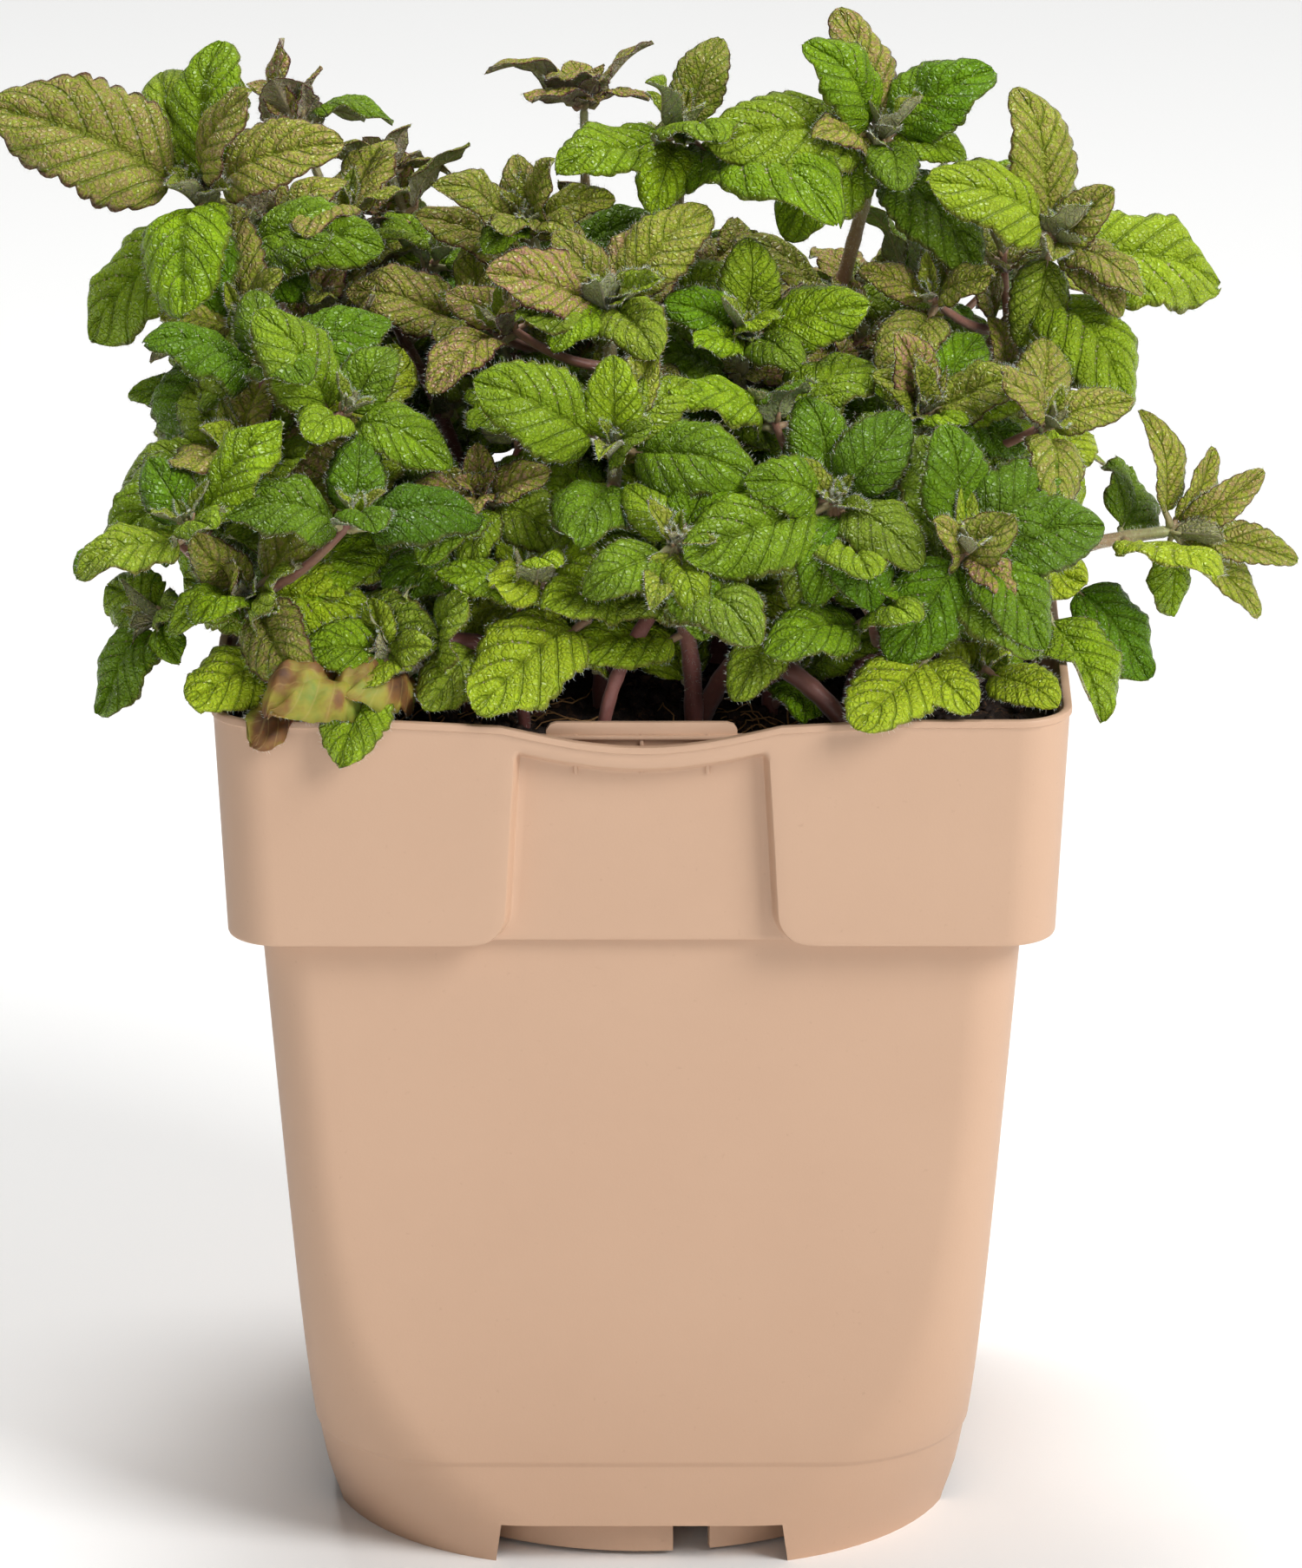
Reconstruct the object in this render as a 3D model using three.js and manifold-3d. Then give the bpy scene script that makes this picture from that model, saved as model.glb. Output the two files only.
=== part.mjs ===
// Wild basil growing in a square nursery pot.
// Frame: millimetres, +Z up, origin on the pot's axis at the level of its feet, -Y is the front.
// The pot is one thin moulding: a tapering body whose corners grow rounder towards the foot, a
// stepped collar with four corner panels, and a notched foot ring. The soil fills it, the stems
// stand in sockets in the soil, and pairs of leaves sit just off their stems.

import * as THREE from 'three';
import { mergeVertices } from 'three/addons/utils/BufferGeometryUtils.js';
import Module from 'manifold-3d';

const wasm = await Module();
wasm.setup();

// ---------- Driving sizes of the pot ----------
const POT_HEIGHT = 145.3;
const RIM_HALF = 65; // half the width across flats at the rim
const COLLAR_DROP = 37; // height of the collar, down from the rim
const COLLAR_TAPER = 1.8; // how much narrower each side of the collar is at its lower edge
const LEDGE = 4.9; // step from the collar in to the body
const BODY_TAPER = 6.9; // how much each side draws in from the collar to the seam
const FOOT_TAPER = 1.4; // and from the seam to the ground
const SEAM_HEIGHT = 17.7;
const SEAM_STEP = 0.35;
const WALL = 1.0;
const RIM_CORNER = 8;
const FOOT_CORNER = 40; // corner radius on the ground, almost a full round
const CORNER_FADE = 22; // height over which the corners sharpen
const CORNER_FADE_POWER = 1.3;

// ---------- Panels, rim dip and label tab ----------
const RECESS_HALF_TOP = 18;
const RECESS_HALF_LOW = 20;
const RECESS_DEPTH = 3;
const RECESS_SLOPE = 0.9; // width of the slanted side of a corner panel
const PANEL_ROUND = 5; // radius of a panel's lower inner corner
const DIP_HALF = 26;
const DIP_DEPTH = 4.2;
const BAND_HEIGHT = 3.3; // lip that follows the dip
const BAND_SLOPE = 1.6;
const TAB_HALF = 14.5;
const TAB_BELOW_RIM = 1.4;
const TAB_RIB = 0.6;
const TAB_RIB_SPACING = 10;
const SHELF_BELOW_RIM = 3.6;
const SHELF_HALF = 17.5;
const SHELF_DEPTH = 1.2;

// ---------- Foot ----------
const FLOOR_LEVEL = 8; // underside of the raised floor
const FLOOR_THICK = 1.5;
const NOTCH_HALF = 22;
const NOTCH_HEIGHT = 7.1;
const FOOT_RIB_SET_BACK = 4.0; // of the inner round rib, from the outside of the foot
const FOOT_RIB_THICK = 1.4;
const FOOT_RIB_LIFT = 0.8;
const FOOT_SLOT = 5.8;
const FOOT_SLOT_OFFSET = 7.8;
const DRAIN_RADIUS = 3.5;
const DRAIN_SET_BACK = 24.85; // of the circle of holes, from the outside of the foot
const DRAIN_COUNT = 8;

// ---------- Soil and plant ----------
const CLEARANCE = 0.3; // gap between pieces that touch
const SOIL_DROP = 8; // soil surface below the rim
const SOIL_LUMP = 1.1;
const ROOT_DEPTH = 12; // how deep a stem stands in the soil
const STEM_RADIUS = 1.5;
const THIN_STEM_RADIUS = 1.05;
const STEM_SIDES = 6;
const STEM_STEPS = 8;
const LEAF_THICK = 0.5;
const LEAF_WIDTH_SHARE = 0.66; // width of a blade over its length
const PETIOLE_HALF = 0.5;
const LEAF_ARCH = 0.09; // rise of the midrib over its length
const LEAF_FOLD = 0.3; // rise of the margins over the half width

// ---------- Levels that follow ----------
const COLLAR_LOW = POT_HEIGHT - COLLAR_DROP;
const COLLAR_LOW_HALF = RIM_HALF - COLLAR_TAPER;
const BODY_TOP_HALF = COLLAR_LOW_HALF - LEDGE;
const SEAM_HALF = BODY_TOP_HALF - BODY_TAPER;
const FOOT_HALF = SEAM_HALF - SEAM_STEP - FOOT_TAPER;
const FOOT_RIB_OUTER = FOOT_HALF - FOOT_RIB_SET_BACK;
const DRAIN_RING = FOOT_HALF - DRAIN_SET_BACK;
const FOOT_ROUND = Math.min(FOOT_CORNER, FOOT_HALF - 2); // the foot keeps a short flat on each side
const SOIL_LEVEL = POT_HEIGHT - SOIL_DROP;
const SPREAD = RIM_HALF / 65; // the plant spreads with its pot
// An offset of the wall moves the corners of a recess sideways by this share of the offset.
const RECESS_TURN = Math.tan(Math.atan2(RECESS_DEPTH, RECESS_SLOPE) / 2);

// Shoots, all in millimetres. root: where the stem leaves the soil. tip: the growing point, its
// height counted from the soil. heading: the direction the stem points in at its tip. leaves: the
// points of its two largest leaves, where they are solids of their own.
const SHOOTS = [
  // The tall outer shoot at the upper left
  { root: [-34, -2], tip: [-68, 0, 72], heading: [-0.4, -0.5, 1], leaves: [[-100, -3, 88], [-47, -9, 84]] },
  // Bronze shoots behind it
  { root: [-26, 20], tip: [-54, 28, 76], heading: [-0.3, 0, 1], thin: true },
  { root: [-15, 30], tip: [-40, 42, 64], heading: [-0.3, 0.4, 1], thin: true },
  // Two front left shoots and a low one that hangs over the rim
  { root: [-38, -22], tip: [-61, -32, 39], heading: [-0.3, -0.7, 1], leaves: [[-81, -42, 30], [-40, -33, 42]] },
  { root: [-26, -38], tip: [-59, -50, 23], heading: [-0.5, -0.7, 0.8], leaves: [[-46, -42, 40], [-71, -59, 22]] },
  { root: [-46, -14], tip: [-74, -21, 10], heading: [-1, -0.1, 0.1], thin: true, leaves: [[-85, -25, -4], [-84, -9, 12]] },
  // Small shoot at the front rim
  { root: [-18, -48], tip: [-38, -57, 16], heading: [-0.6, -0.5, 0.6], thin: true },
  // Purple shoot at the top and the upright one beside it
  { root: [-6, 20], tip: [-9, 25, 79], heading: [0, 0, 1], thin: true, leaves: [[-23, 20, 88], [1, 29, 89]] },
  { root: [4, 8], tip: [6, 5, 80], heading: [0, -0.2, 1], thin: true },
  // The middle of the crown, from back to front
  { root: [-14, 4], tip: [-17, 0, 67], heading: [-0.1, -0.4, 1], leaves: [[-31, -5, 76], [-5, -4, 74]] },
  { root: [-2, -13], tip: [-5, -22, 61], heading: [0, -0.6, 1], leaves: [[-23, -30, 68], [10, -16, 75]] },
  { root: [12, -12], tip: [16, -18, 54], heading: [0.1, -0.6, 1], leaves: [[34, -23, 62], [5, -25, 63]] },
  { root: [-6, -30], tip: [-4, -42, 44], heading: [0, -0.7, 1], leaves: [[-25, -46, 56], [16, -53, 44]] },
  { root: [-15, -22], tip: [-24, -40, 35], heading: [-0.2, -0.7, 1], thin: true },
  { root: [8, -44], tip: [5, -56, 33], heading: [0, -0.6, 1], leaves: [[-8, -64, 28], [13, -46, 45]] },
  { root: [20, -36], tip: [29, -48, 37], heading: [0.2, -0.7, 1], leaves: [[17, -54, 44], [40, -43, 50]] },
  { root: [32, -43], tip: [49, -52, 31], heading: [0.2, -0.6, 1], leaves: [[46, -46, 49], [70, -50, 35]] },
  // Right hand side
  { root: [24, 4], tip: [37, 0, 81], heading: [0.2, -0.4, 1], leaves: [[27, -4, 98], [53, -2, 93]] },
  { root: [38, 4], tip: [64, -5, 66], heading: [0.4, -0.4, 1], leaves: [[59, 1, 89], [90, 0, 57]] },
  { root: [28, -18], tip: [43, -25, 44], heading: [0.2, -0.6, 1], thin: true },
  // The shoot that trails out over the right hand rim
  { root: [46, -24], tip: [82, -15, 22], heading: [1, 0.1, 0.1], leaves: [[102, -14, 17], [78, -14, 41]] },
  // The back of the crown
  { root: [-30, 38], tip: [-46, 51, 52], heading: [-0.4, 0.6, 1], leaves: [[-66, 57, 55], [-36, 67, 49]] },
  { root: [2, 40], tip: [3, 54, 62], heading: [0, 0.6, 1], thin: true },
  { root: [32, 34], tip: [47, 49, 56], heading: [0.4, 0.6, 1], leaves: [[38, 67, 55], [69, 54, 59]] },
];

// ---------- Materials ----------
const potPlastic = new THREE.MeshStandardMaterial({ color: '#cdaa8e', roughness: 0.6, metalness: 0 });
const peat = new THREE.MeshStandardMaterial({ color: '#1d1512', roughness: 1, metalness: 0 });
const stemSkin = new THREE.MeshStandardMaterial({ color: '#8a5a50', roughness: 0.7, metalness: 0 });
const leafSkin = new THREE.MeshStandardMaterial({ color: '#4f8a26', roughness: 0.5, metalness: 0 });

// ---------- Solids from points ----------
// A grid of rings, each an array of [x, y, z], closed at both ends by a fan to a centre point.
function loft(rings) {
  const count = rings[0].length;
  const positions = rings.flat(2);
  const indices = [];
  for (let row = 0; row + 1 < rings.length; row += 1) {
    for (let i = 0; i < count; i += 1) {
      const next = (i + 1) % count;
      const a = row * count + i;
      const b = row * count + next;
      indices.push(a, b, b + count, a, b + count, a + count);
    }
  }
  [0, rings.length - 1].forEach((row, end) => {
    const centre = positions.length / 3;
    const middle = [0, 1, 2].map((k) => rings[row].reduce((sum, p) => sum + p[k], 0) / count);
    positions.push(...middle);
    for (let i = 0; i < count; i += 1) {
      const a = row * count + i;
      const b = row * count + ((i + 1) % count);
      indices.push(...(end ? [a, b, centre] : [b, a, centre]));
    }
  });
  const geometry = new THREE.BufferGeometry();
  geometry.setAttribute('position', new THREE.Float32BufferAttribute(positions, 3));
  geometry.setIndex(indices);
  return geometry;
}

function toSolid(geometry) {
  const bare = geometry.clone();
  bare.deleteAttribute('normal');
  bare.deleteAttribute('uv');
  const merged = mergeVertices(bare, 1e-4);
  return new wasm.Manifold(new wasm.Mesh({
    numProp: 3,
    vertProperties: new Float32Array(merged.attributes.position.array),
    triVerts: new Uint32Array(merged.index.array),
  }));
}

function toGeometry(solid) {
  const mesh = solid.getMesh();
  const geometry = new THREE.BufferGeometry();
  geometry.setAttribute('position', new THREE.BufferAttribute(mesh.vertProperties, 3));
  geometry.setIndex(new THREE.BufferAttribute(mesh.triVerts, 1));
  return geometry;
}

// A box or other ready geometry, turned about Z and moved.
function placed(geometry, x, y, z, turn = 0) {
  return toSolid(geometry.translate(x, y, z).rotateZ(turn));
}

// ---------- Sections of the pot ----------
const SIDES = 4;
const CORNER_STEPS = 6;
const BODY_STATIONS = [-1, -0.56, -0.52, -0.497, -0.32, -0.16, 0, 0.16, 0.32, 0.497, 0.52, 0.56, 1];

function cornerRadius(z) {
  const sharpening = Math.exp(-((Math.max(z, 0) / CORNER_FADE) ** CORNER_FADE_POWER));
  return RIM_CORNER + (FOOT_ROUND - RIM_CORNER) * sharpening;
}

function collarHalf(z) {
  return COLLAR_LOW_HALF + (COLLAR_TAPER * (z - COLLAR_LOW)) / COLLAR_DROP;
}

function bodyHalf(z) {
  if (z >= SEAM_HEIGHT) {
    return SEAM_HALF + (BODY_TAPER * (z - SEAM_HEIGHT)) / (COLLAR_LOW - SEAM_HEIGHT);
  }
  return FOOT_HALF + (FOOT_TAPER * z) / SEAM_HEIGHT;
}

function recessHalf(z) {
  const up = z - COLLAR_LOW;
  const half = RECESS_HALF_LOW + ((RECESS_HALF_TOP - RECESS_HALF_LOW) * up) / COLLAR_DROP;
  const inRound = Math.max(0, PANEL_ROUND - up) / PANEL_ROUND;
  return half + PANEL_ROUND * (1 - Math.sqrt(1 - inRound * inRound));
}

function dip(u) {
  const share = Math.min(Math.abs(u) / DIP_HALF, 1);
  return DIP_DEPTH * Math.cos((Math.PI / 2) * share) ** 1.2;
}

// One closed ring round the pot. place(station) gives a point of the front side as distance along
// it, distance out from the axis and height; the other sides are the same, turned.
function ring(radius, half, height, stationCount, place) {
  const points = [];
  for (let side = 0; side < SIDES; side += 1) {
    const turn = (side * Math.PI) / 2;
    const add = (along, out, z) => {
      points.push([along * Math.cos(turn) + out * Math.sin(turn), along * Math.sin(turn) - out * Math.cos(turn), z]);
    };
    for (let i = 0; i < stationCount; i += 1) {
      add(...place(i));
    }
    for (let step = 1; step <= CORNER_STEPS; step += 1) {
      const angle = (step / (CORNER_STEPS + 1)) * (Math.PI / 2);
      const centre = half - radius;
      add(centre + radius * Math.sin(angle), centre + radius * Math.cos(angle), height);
    }
  }
  return points;
}

function bodyRing(z, inset, level = z) {
  const half = bodyHalf(z) - inset;
  const radius = cornerRadius(z) - inset;
  const flat = half - radius;
  return ring(radius, half, level, BODY_STATIONS.length, (i) => [BODY_STATIONS[i] * flat, half, level]);
}

// depth: how far the middle of each side stands back. heightAt(u): height along the side.
function collarRing(z, inset, depth, heightAt) {
  const half = collarHalf(z) - inset;
  const radius = cornerRadius(z) - inset;
  const flat = half - radius;
  const edge = recessHalf(z) + inset * RECESS_TURN;
  const outer = edge + RECESS_SLOPE;
  const halves = [flat, Math.max(DIP_HALF, outer + 1), outer, edge, edge * 0.66, edge * 0.33];
  const stations = [...halves.map((u) => -u), 0, ...halves.reverse()];
  return ring(radius, half, heightAt(flat), stations.length, (i) => {
    const u = stations[i];
    const standsBack = Math.abs(u) < edge + 0.01 ? depth : 0;
    return [u, half - standsBack, heightAt(u)];
  });
}

// ---------- Pot ----------
function collarRings(inset, lowest) {
  const bandLow = (u) => POT_HEIGHT - dip(u) - BAND_HEIGHT - BAND_SLOPE;
  const bandHigh = (u) => POT_HEIGHT - dip(u) - BAND_HEIGHT;
  const middle = COLLAR_LOW + COLLAR_DROP / 2;
  const levels = [lowest, COLLAR_LOW + PANEL_ROUND * 0.35, COLLAR_LOW + PANEL_ROUND, middle];
  return [
    ...levels.map((z) => collarRing(z, inset, RECESS_DEPTH, () => z)),
    collarRing(bandLow(DIP_HALF), inset, RECESS_DEPTH, bandLow),
    collarRing(bandHigh(DIP_HALF), inset, 0, bandHigh),
    collarRing(POT_HEIGHT, inset, 0, (u) => POT_HEIGHT - dip(u)),
  ];
}

function bodyLevels() {
  const up = COLLAR_LOW - SEAM_HEIGHT;
  return [0, 0.1, 0.25, 0.5].map((share) => SEAM_HEIGHT + share * up);
}

function footLevels() {
  return [0, 0.5].map((share) => share * SEAM_HEIGHT);
}

function shell() {
  const floorTop = FLOOR_LEVEL + FLOOR_THICK;
  const ledgeTop = COLLAR_LOW + WALL;
  const outside = [
    ...footLevels().map((z) => bodyRing(z, 0)),
    bodyRing(SEAM_HEIGHT - 0.01, 0, SEAM_HEIGHT),
    ...bodyLevels().map((z, i) => bodyRing(z, 0, i ? z : z + SEAM_STEP)),
    bodyRing(COLLAR_LOW, 0),
    ...collarRings(0, COLLAR_LOW),
  ];
  const inside = [
    ...collarRings(WALL, ledgeTop).reverse(),
    bodyRing(COLLAR_LOW, WALL, ledgeTop),
    ...bodyLevels().reverse().map((z) => bodyRing(z, WALL)),
    bodyRing(floorTop, WALL),
  ];
  const underneath = [bodyRing(FLOOR_LEVEL, WALL), bodyRing(0, WALL)];
  return toSolid(loft([...underneath, ...outside, ...inside]));
}

// The tab stands on the recessed front panel behind the dip and leaves a slot for a plant label.
function labelTab() {
  const back = collarHalf(POT_HEIGHT) - RECESS_DEPTH - WALL;
  const low = POT_HEIGHT - DIP_DEPTH - BAND_HEIGHT - BAND_SLOPE - 1;
  const high = POT_HEIGHT - TAB_BELOW_RIM;
  const outline = new THREE.Shape();
  const round = 2;
  outline.moveTo(-TAB_HALF, low);
  outline.lineTo(TAB_HALF, low);
  outline.lineTo(TAB_HALF, high - round);
  outline.quadraticCurveTo(TAB_HALF, high, TAB_HALF - round, high);
  outline.lineTo(-TAB_HALF + round, high);
  outline.quadraticCurveTo(-TAB_HALF, high, -TAB_HALF, high - round);
  const plate = new THREE.ExtrudeGeometry(outline, { depth: WALL, bevelEnabled: false, curveSegments: 3 });
  let tab = placed(plate.rotateX(Math.PI / 2), 0, -back + 0.4, 0);
  for (const x of [-TAB_RIB_SPACING, 0, TAB_RIB_SPACING]) {
    const ribHeight = high - low - 2;
    const rib = new THREE.BoxGeometry(TAB_RIB, TAB_RIB + 0.2, ribHeight);
    tab = tab.add(placed(rib, x, -back - WALL + 0.2, low + ribHeight / 2));
  }
  const shelf = new THREE.BoxGeometry(2 * SHELF_HALF, SHELF_DEPTH, 0.6);
  return tab.add(placed(shelf, 0, -back + 0.4 - WALL / 2, POT_HEIGHT - SHELF_BELOW_RIM));
}

function footRib() {
  const inner = FOOT_RIB_OUTER - FOOT_RIB_THICK;
  const high = FLOOR_LEVEL + FLOOR_THICK / 2;
  const profile = [
    new THREE.Vector2(inner, FOOT_RIB_LIFT),
    new THREE.Vector2(FOOT_RIB_OUTER, FOOT_RIB_LIFT),
    new THREE.Vector2(FOOT_RIB_OUTER, high),
    new THREE.Vector2(inner, high),
    new THREE.Vector2(inner, FOOT_RIB_LIFT),
  ];
  const ringRib = toSolid(new THREE.LatheGeometry(profile, 32).rotateX(Math.PI / 2));
  const long = 2 * FOOT_RIB_OUTER + 4;
  const slotHeight = FLOOR_LEVEL;
  const slot = (turn) => placed(
    new THREE.BoxGeometry(FOOT_SLOT, long, slotHeight), FOOT_SLOT_OFFSET, 0, slotHeight / 2, turn,
  );
  return ringRib.subtract(slot(0)).subtract(slot(Math.PI / 2));
}

function potSolid() {
  let pot = shell().add(labelTab()).add(footRib());
  const depth = 24;
  const notch = new THREE.Shape();
  notch.moveTo(-NOTCH_HALF - 1, -1);
  notch.lineTo(NOTCH_HALF + 1, -1);
  notch.lineTo(NOTCH_HALF, NOTCH_HEIGHT);
  notch.lineTo(-NOTCH_HALF, NOTCH_HEIGHT);
  const reach = FOOT_HALF + 2;
  for (let side = 0; side < SIDES; side += 1) {
    const block = new THREE.ExtrudeGeometry(notch, { depth, bevelEnabled: false });
    const cutter = placed(block.rotateX(Math.PI / 2), 0, -reach + depth, 0, (side * Math.PI) / 2);
    const footOnly = cutter.subtract(placed(
      new THREE.CylinderGeometry(FOOT_RIB_OUTER + 1, FOOT_RIB_OUTER + 1, 30, 32).rotateX(Math.PI / 2), 0, 0, 0,
    ));
    pot = pot.subtract(footOnly);
  }
  const hole = () => new THREE.CylinderGeometry(DRAIN_RADIUS, DRAIN_RADIUS, 8, 12).rotateX(Math.PI / 2);
  const middle = FLOOR_LEVEL + FLOOR_THICK / 2;
  pot = pot.subtract(placed(hole(), 0, 0, middle));
  for (let i = 0; i < DRAIN_COUNT; i += 1) {
    pot = pot.subtract(placed(hole(), DRAIN_RING, 0, middle, ((i + 0.5) * 2 * Math.PI) / DRAIN_COUNT));
  }
  return pot;
}

// ---------- Stems ----------
function rootPoint(shoot, lift) {
  return new THREE.Vector3(shoot.root[0] * SPREAD, shoot.root[1] * SPREAD, SOIL_LEVEL + lift);
}

function plantPoint([x, y, z]) {
  return new THREE.Vector3(x * SPREAD, y * SPREAD, SOIL_LEVEL + z);
}

// A shoot rises straight out of the soil and bends over towards its heading.
function stemCurve(shoot) {
  const start = rootPoint(shoot, SOIL_LUMP + 1);
  const end = plantPoint(shoot.tip);
  const reach = start.distanceTo(end) * 0.4;
  const heading = new THREE.Vector3(...shoot.heading).normalize();
  const rise = start.clone().add(new THREE.Vector3(0, 0, reach));
  const arrive = end.clone().addScaledVector(heading, -reach);
  const curve = new THREE.CurvePath();
  curve.add(new THREE.LineCurve3(rootPoint(shoot, -ROOT_DEPTH), start));
  curve.add(new THREE.CubicBezierCurve3(start, rise, arrive, end));
  return curve;
}

function stemRadius(shoot) {
  return shoot.thin ? THIN_STEM_RADIUS : STEM_RADIUS;
}

function polygon(radius, sides) {
  const corners = [];
  for (let i = 0; i < sides; i += 1) {
    const angle = (i / sides) * 2 * Math.PI;
    corners.push(new THREE.Vector2(radius * Math.cos(angle), radius * Math.sin(angle)));
  }
  return new THREE.Shape(corners);
}

function stemGeometry(shoot) {
  return new THREE.ExtrudeGeometry(polygon(stemRadius(shoot), STEM_SIDES), {
    steps: STEM_STEPS,
    bevelEnabled: false,
    extrudePath: stemCurve(shoot),
  });
}

// ---------- Soil ----------
function soilHeight(x, y) {
  const broad = Math.sin(x * 0.11 + 1) * Math.cos(y * 0.13 - 0.5);
  const fine = Math.sin(x * 0.31 - y * 0.23) * 0.5;
  return SOIL_LEVEL + (SOIL_LUMP * (broad + fine)) / 1.5;
}

// The soil follows the inside of the pot and has a socket for every stem.
function soilSolid() {
  const inset = WALL + CLEARANCE;
  const floorTop = FLOOR_LEVEL + FLOOR_THICK + CLEARANCE;
  const ledgeTop = COLLAR_LOW + WALL + CLEARANCE;
  const edgeLevel = SOIL_LEVEL - SOIL_LUMP;
  const surface = collarRing(edgeLevel, inset, RECESS_DEPTH, () => edgeLevel);
  const rings = [
    bodyRing(floorTop, inset),
    ...bodyLevels().map((z) => bodyRing(z, inset)),
    bodyRing(COLLAR_LOW, inset, ledgeTop),
    collarRing(COLLAR_LOW + WALL, inset, RECESS_DEPTH, () => ledgeTop),
    surface,
    ...[0.93, 0.7, 0.4].map((share) => surface.map(([x, y]) => {
      const across = [x * share, y * share];
      return [...across, soilHeight(...across)];
    })),
  ];
  let soil = toSolid(loft(rings));
  for (const shoot of SHOOTS) {
    const radius = (stemRadius(shoot) + CLEARANCE) / Math.cos(Math.PI / STEM_SIDES);
    const deep = ROOT_DEPTH + CLEARANCE + 4;
    const socket = new THREE.CylinderGeometry(radius, radius, deep, STEM_SIDES).rotateX(Math.PI / 2);
    const at = rootPoint(shoot, deep / 2 - ROOT_DEPTH - CLEARANCE);
    soil = soil.subtract(placed(socket, at.x, at.y, at.z));
  }
  return soil;
}

// ---------- Leaves ----------
// A blade runs from just off its stem to its point. Its upper face looks towards the stem's tip.
function leafGeometry(shoot, point) {
  const heading = new THREE.Vector3(...shoot.heading).normalize();
  const away = point.clone().sub(plantPoint(shoot.tip));
  const outward = away.clone().addScaledVector(heading, -away.dot(heading)).normalize();
  const gap = stemRadius(shoot) + CLEARANCE + LEAF_THICK;
  const base = plantPoint(shoot.tip).addScaledVector(outward, gap).addScaledVector(heading, -LEAF_THICK);
  const along = point.clone().sub(base);
  const length = along.length();
  along.normalize();
  const up = heading.clone().addScaledVector(along, -heading.dot(along)).normalize();
  const across = new THREE.Vector3().crossVectors(along, up);
  const half = (length * LEAF_WIDTH_SHARE) / 2;
  const stations = [
    [0, PETIOLE_HALF], [0.1, PETIOLE_HALF], [0.25, half * 0.8], [0.45, half], [0.72, half * 0.78], [1, half * 0.1],
  ];
  const rings = stations.map(([share, halfWidth]) => {
    const rise = length * LEAF_ARCH * Math.sin(Math.PI * share);
    const spot = (side, face) => {
      const lift = rise + Math.abs(side) * halfWidth * LEAF_FOLD + (face * LEAF_THICK) / 2;
      const place = base.clone().addScaledVector(along, share * length).addScaledVector(across, side * halfWidth);
      return place.addScaledVector(up, lift).toArray();
    };
    return [spot(-1, 1), spot(0, 1), spot(1, 1), spot(1, -1), spot(0, -1), spot(-1, -1)];
  });
  return loft(rings);
}

// ---------- Assembly ----------
const group = new THREE.Group();

function addPiece(name, geometry, material) {
  const mesh = new THREE.Mesh(geometry, material);
  mesh.name = name;
  group.add(mesh);
}

addPiece('pot', toGeometry(potSolid()), potPlastic);
addPiece('soil', toGeometry(soilSolid()), peat);
SHOOTS.forEach((shoot, index) => {
  const number = String(index + 1).padStart(2, '0');
  addPiece(`stem_${number}`, stemGeometry(shoot), stemSkin);
  (shoot.leaves ?? []).forEach((tip, side) => {
    addPiece(`leaf_${number}_${'ab'[side]}`, leafGeometry(shoot, plantPoint(tip)), leafSkin);
  });
});

export default group;
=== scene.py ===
# %% [markdown]
# # Wild basil in a square nursery pot
# The part is a young herb with trailing stems in a thin plastic pot. The CAD model in the frame
# holds the pot, the soil, every stem and the largest leaves as plain solids. This script gives each
# of them its fine shape and its finish, and adds the small leaves, the down and the crumbs of soil.
# Everything is worked out in millimetres and turned to metres when a mesh is made.

import math

import bpy
import numpy as np
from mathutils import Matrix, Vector, noise


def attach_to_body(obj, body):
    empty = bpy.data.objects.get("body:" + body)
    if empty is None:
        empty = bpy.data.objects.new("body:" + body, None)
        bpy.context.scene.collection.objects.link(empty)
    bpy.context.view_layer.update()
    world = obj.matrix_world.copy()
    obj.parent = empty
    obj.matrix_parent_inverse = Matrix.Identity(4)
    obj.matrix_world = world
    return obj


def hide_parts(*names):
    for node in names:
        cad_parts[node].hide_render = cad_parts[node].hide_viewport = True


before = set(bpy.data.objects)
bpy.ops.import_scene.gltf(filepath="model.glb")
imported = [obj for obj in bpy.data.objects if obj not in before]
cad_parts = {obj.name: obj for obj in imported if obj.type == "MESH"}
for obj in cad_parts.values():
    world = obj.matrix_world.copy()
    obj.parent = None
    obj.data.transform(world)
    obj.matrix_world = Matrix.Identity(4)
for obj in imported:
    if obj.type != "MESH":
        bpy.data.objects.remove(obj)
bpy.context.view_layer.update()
MM = 0.001
rng = np.random.default_rng(20)

# %% [markdown]
# ## Gathering points and faces
# A plant has hundreds of leaves, and an object for each would be slow. A Pile gathers the points
# and faces of many small forms and makes one mesh of them. It also keeps two things for the
# materials: the place of each point on its blade, as a UV map, and the age and tint of its leaf, as
# a colour attribute.

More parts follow.
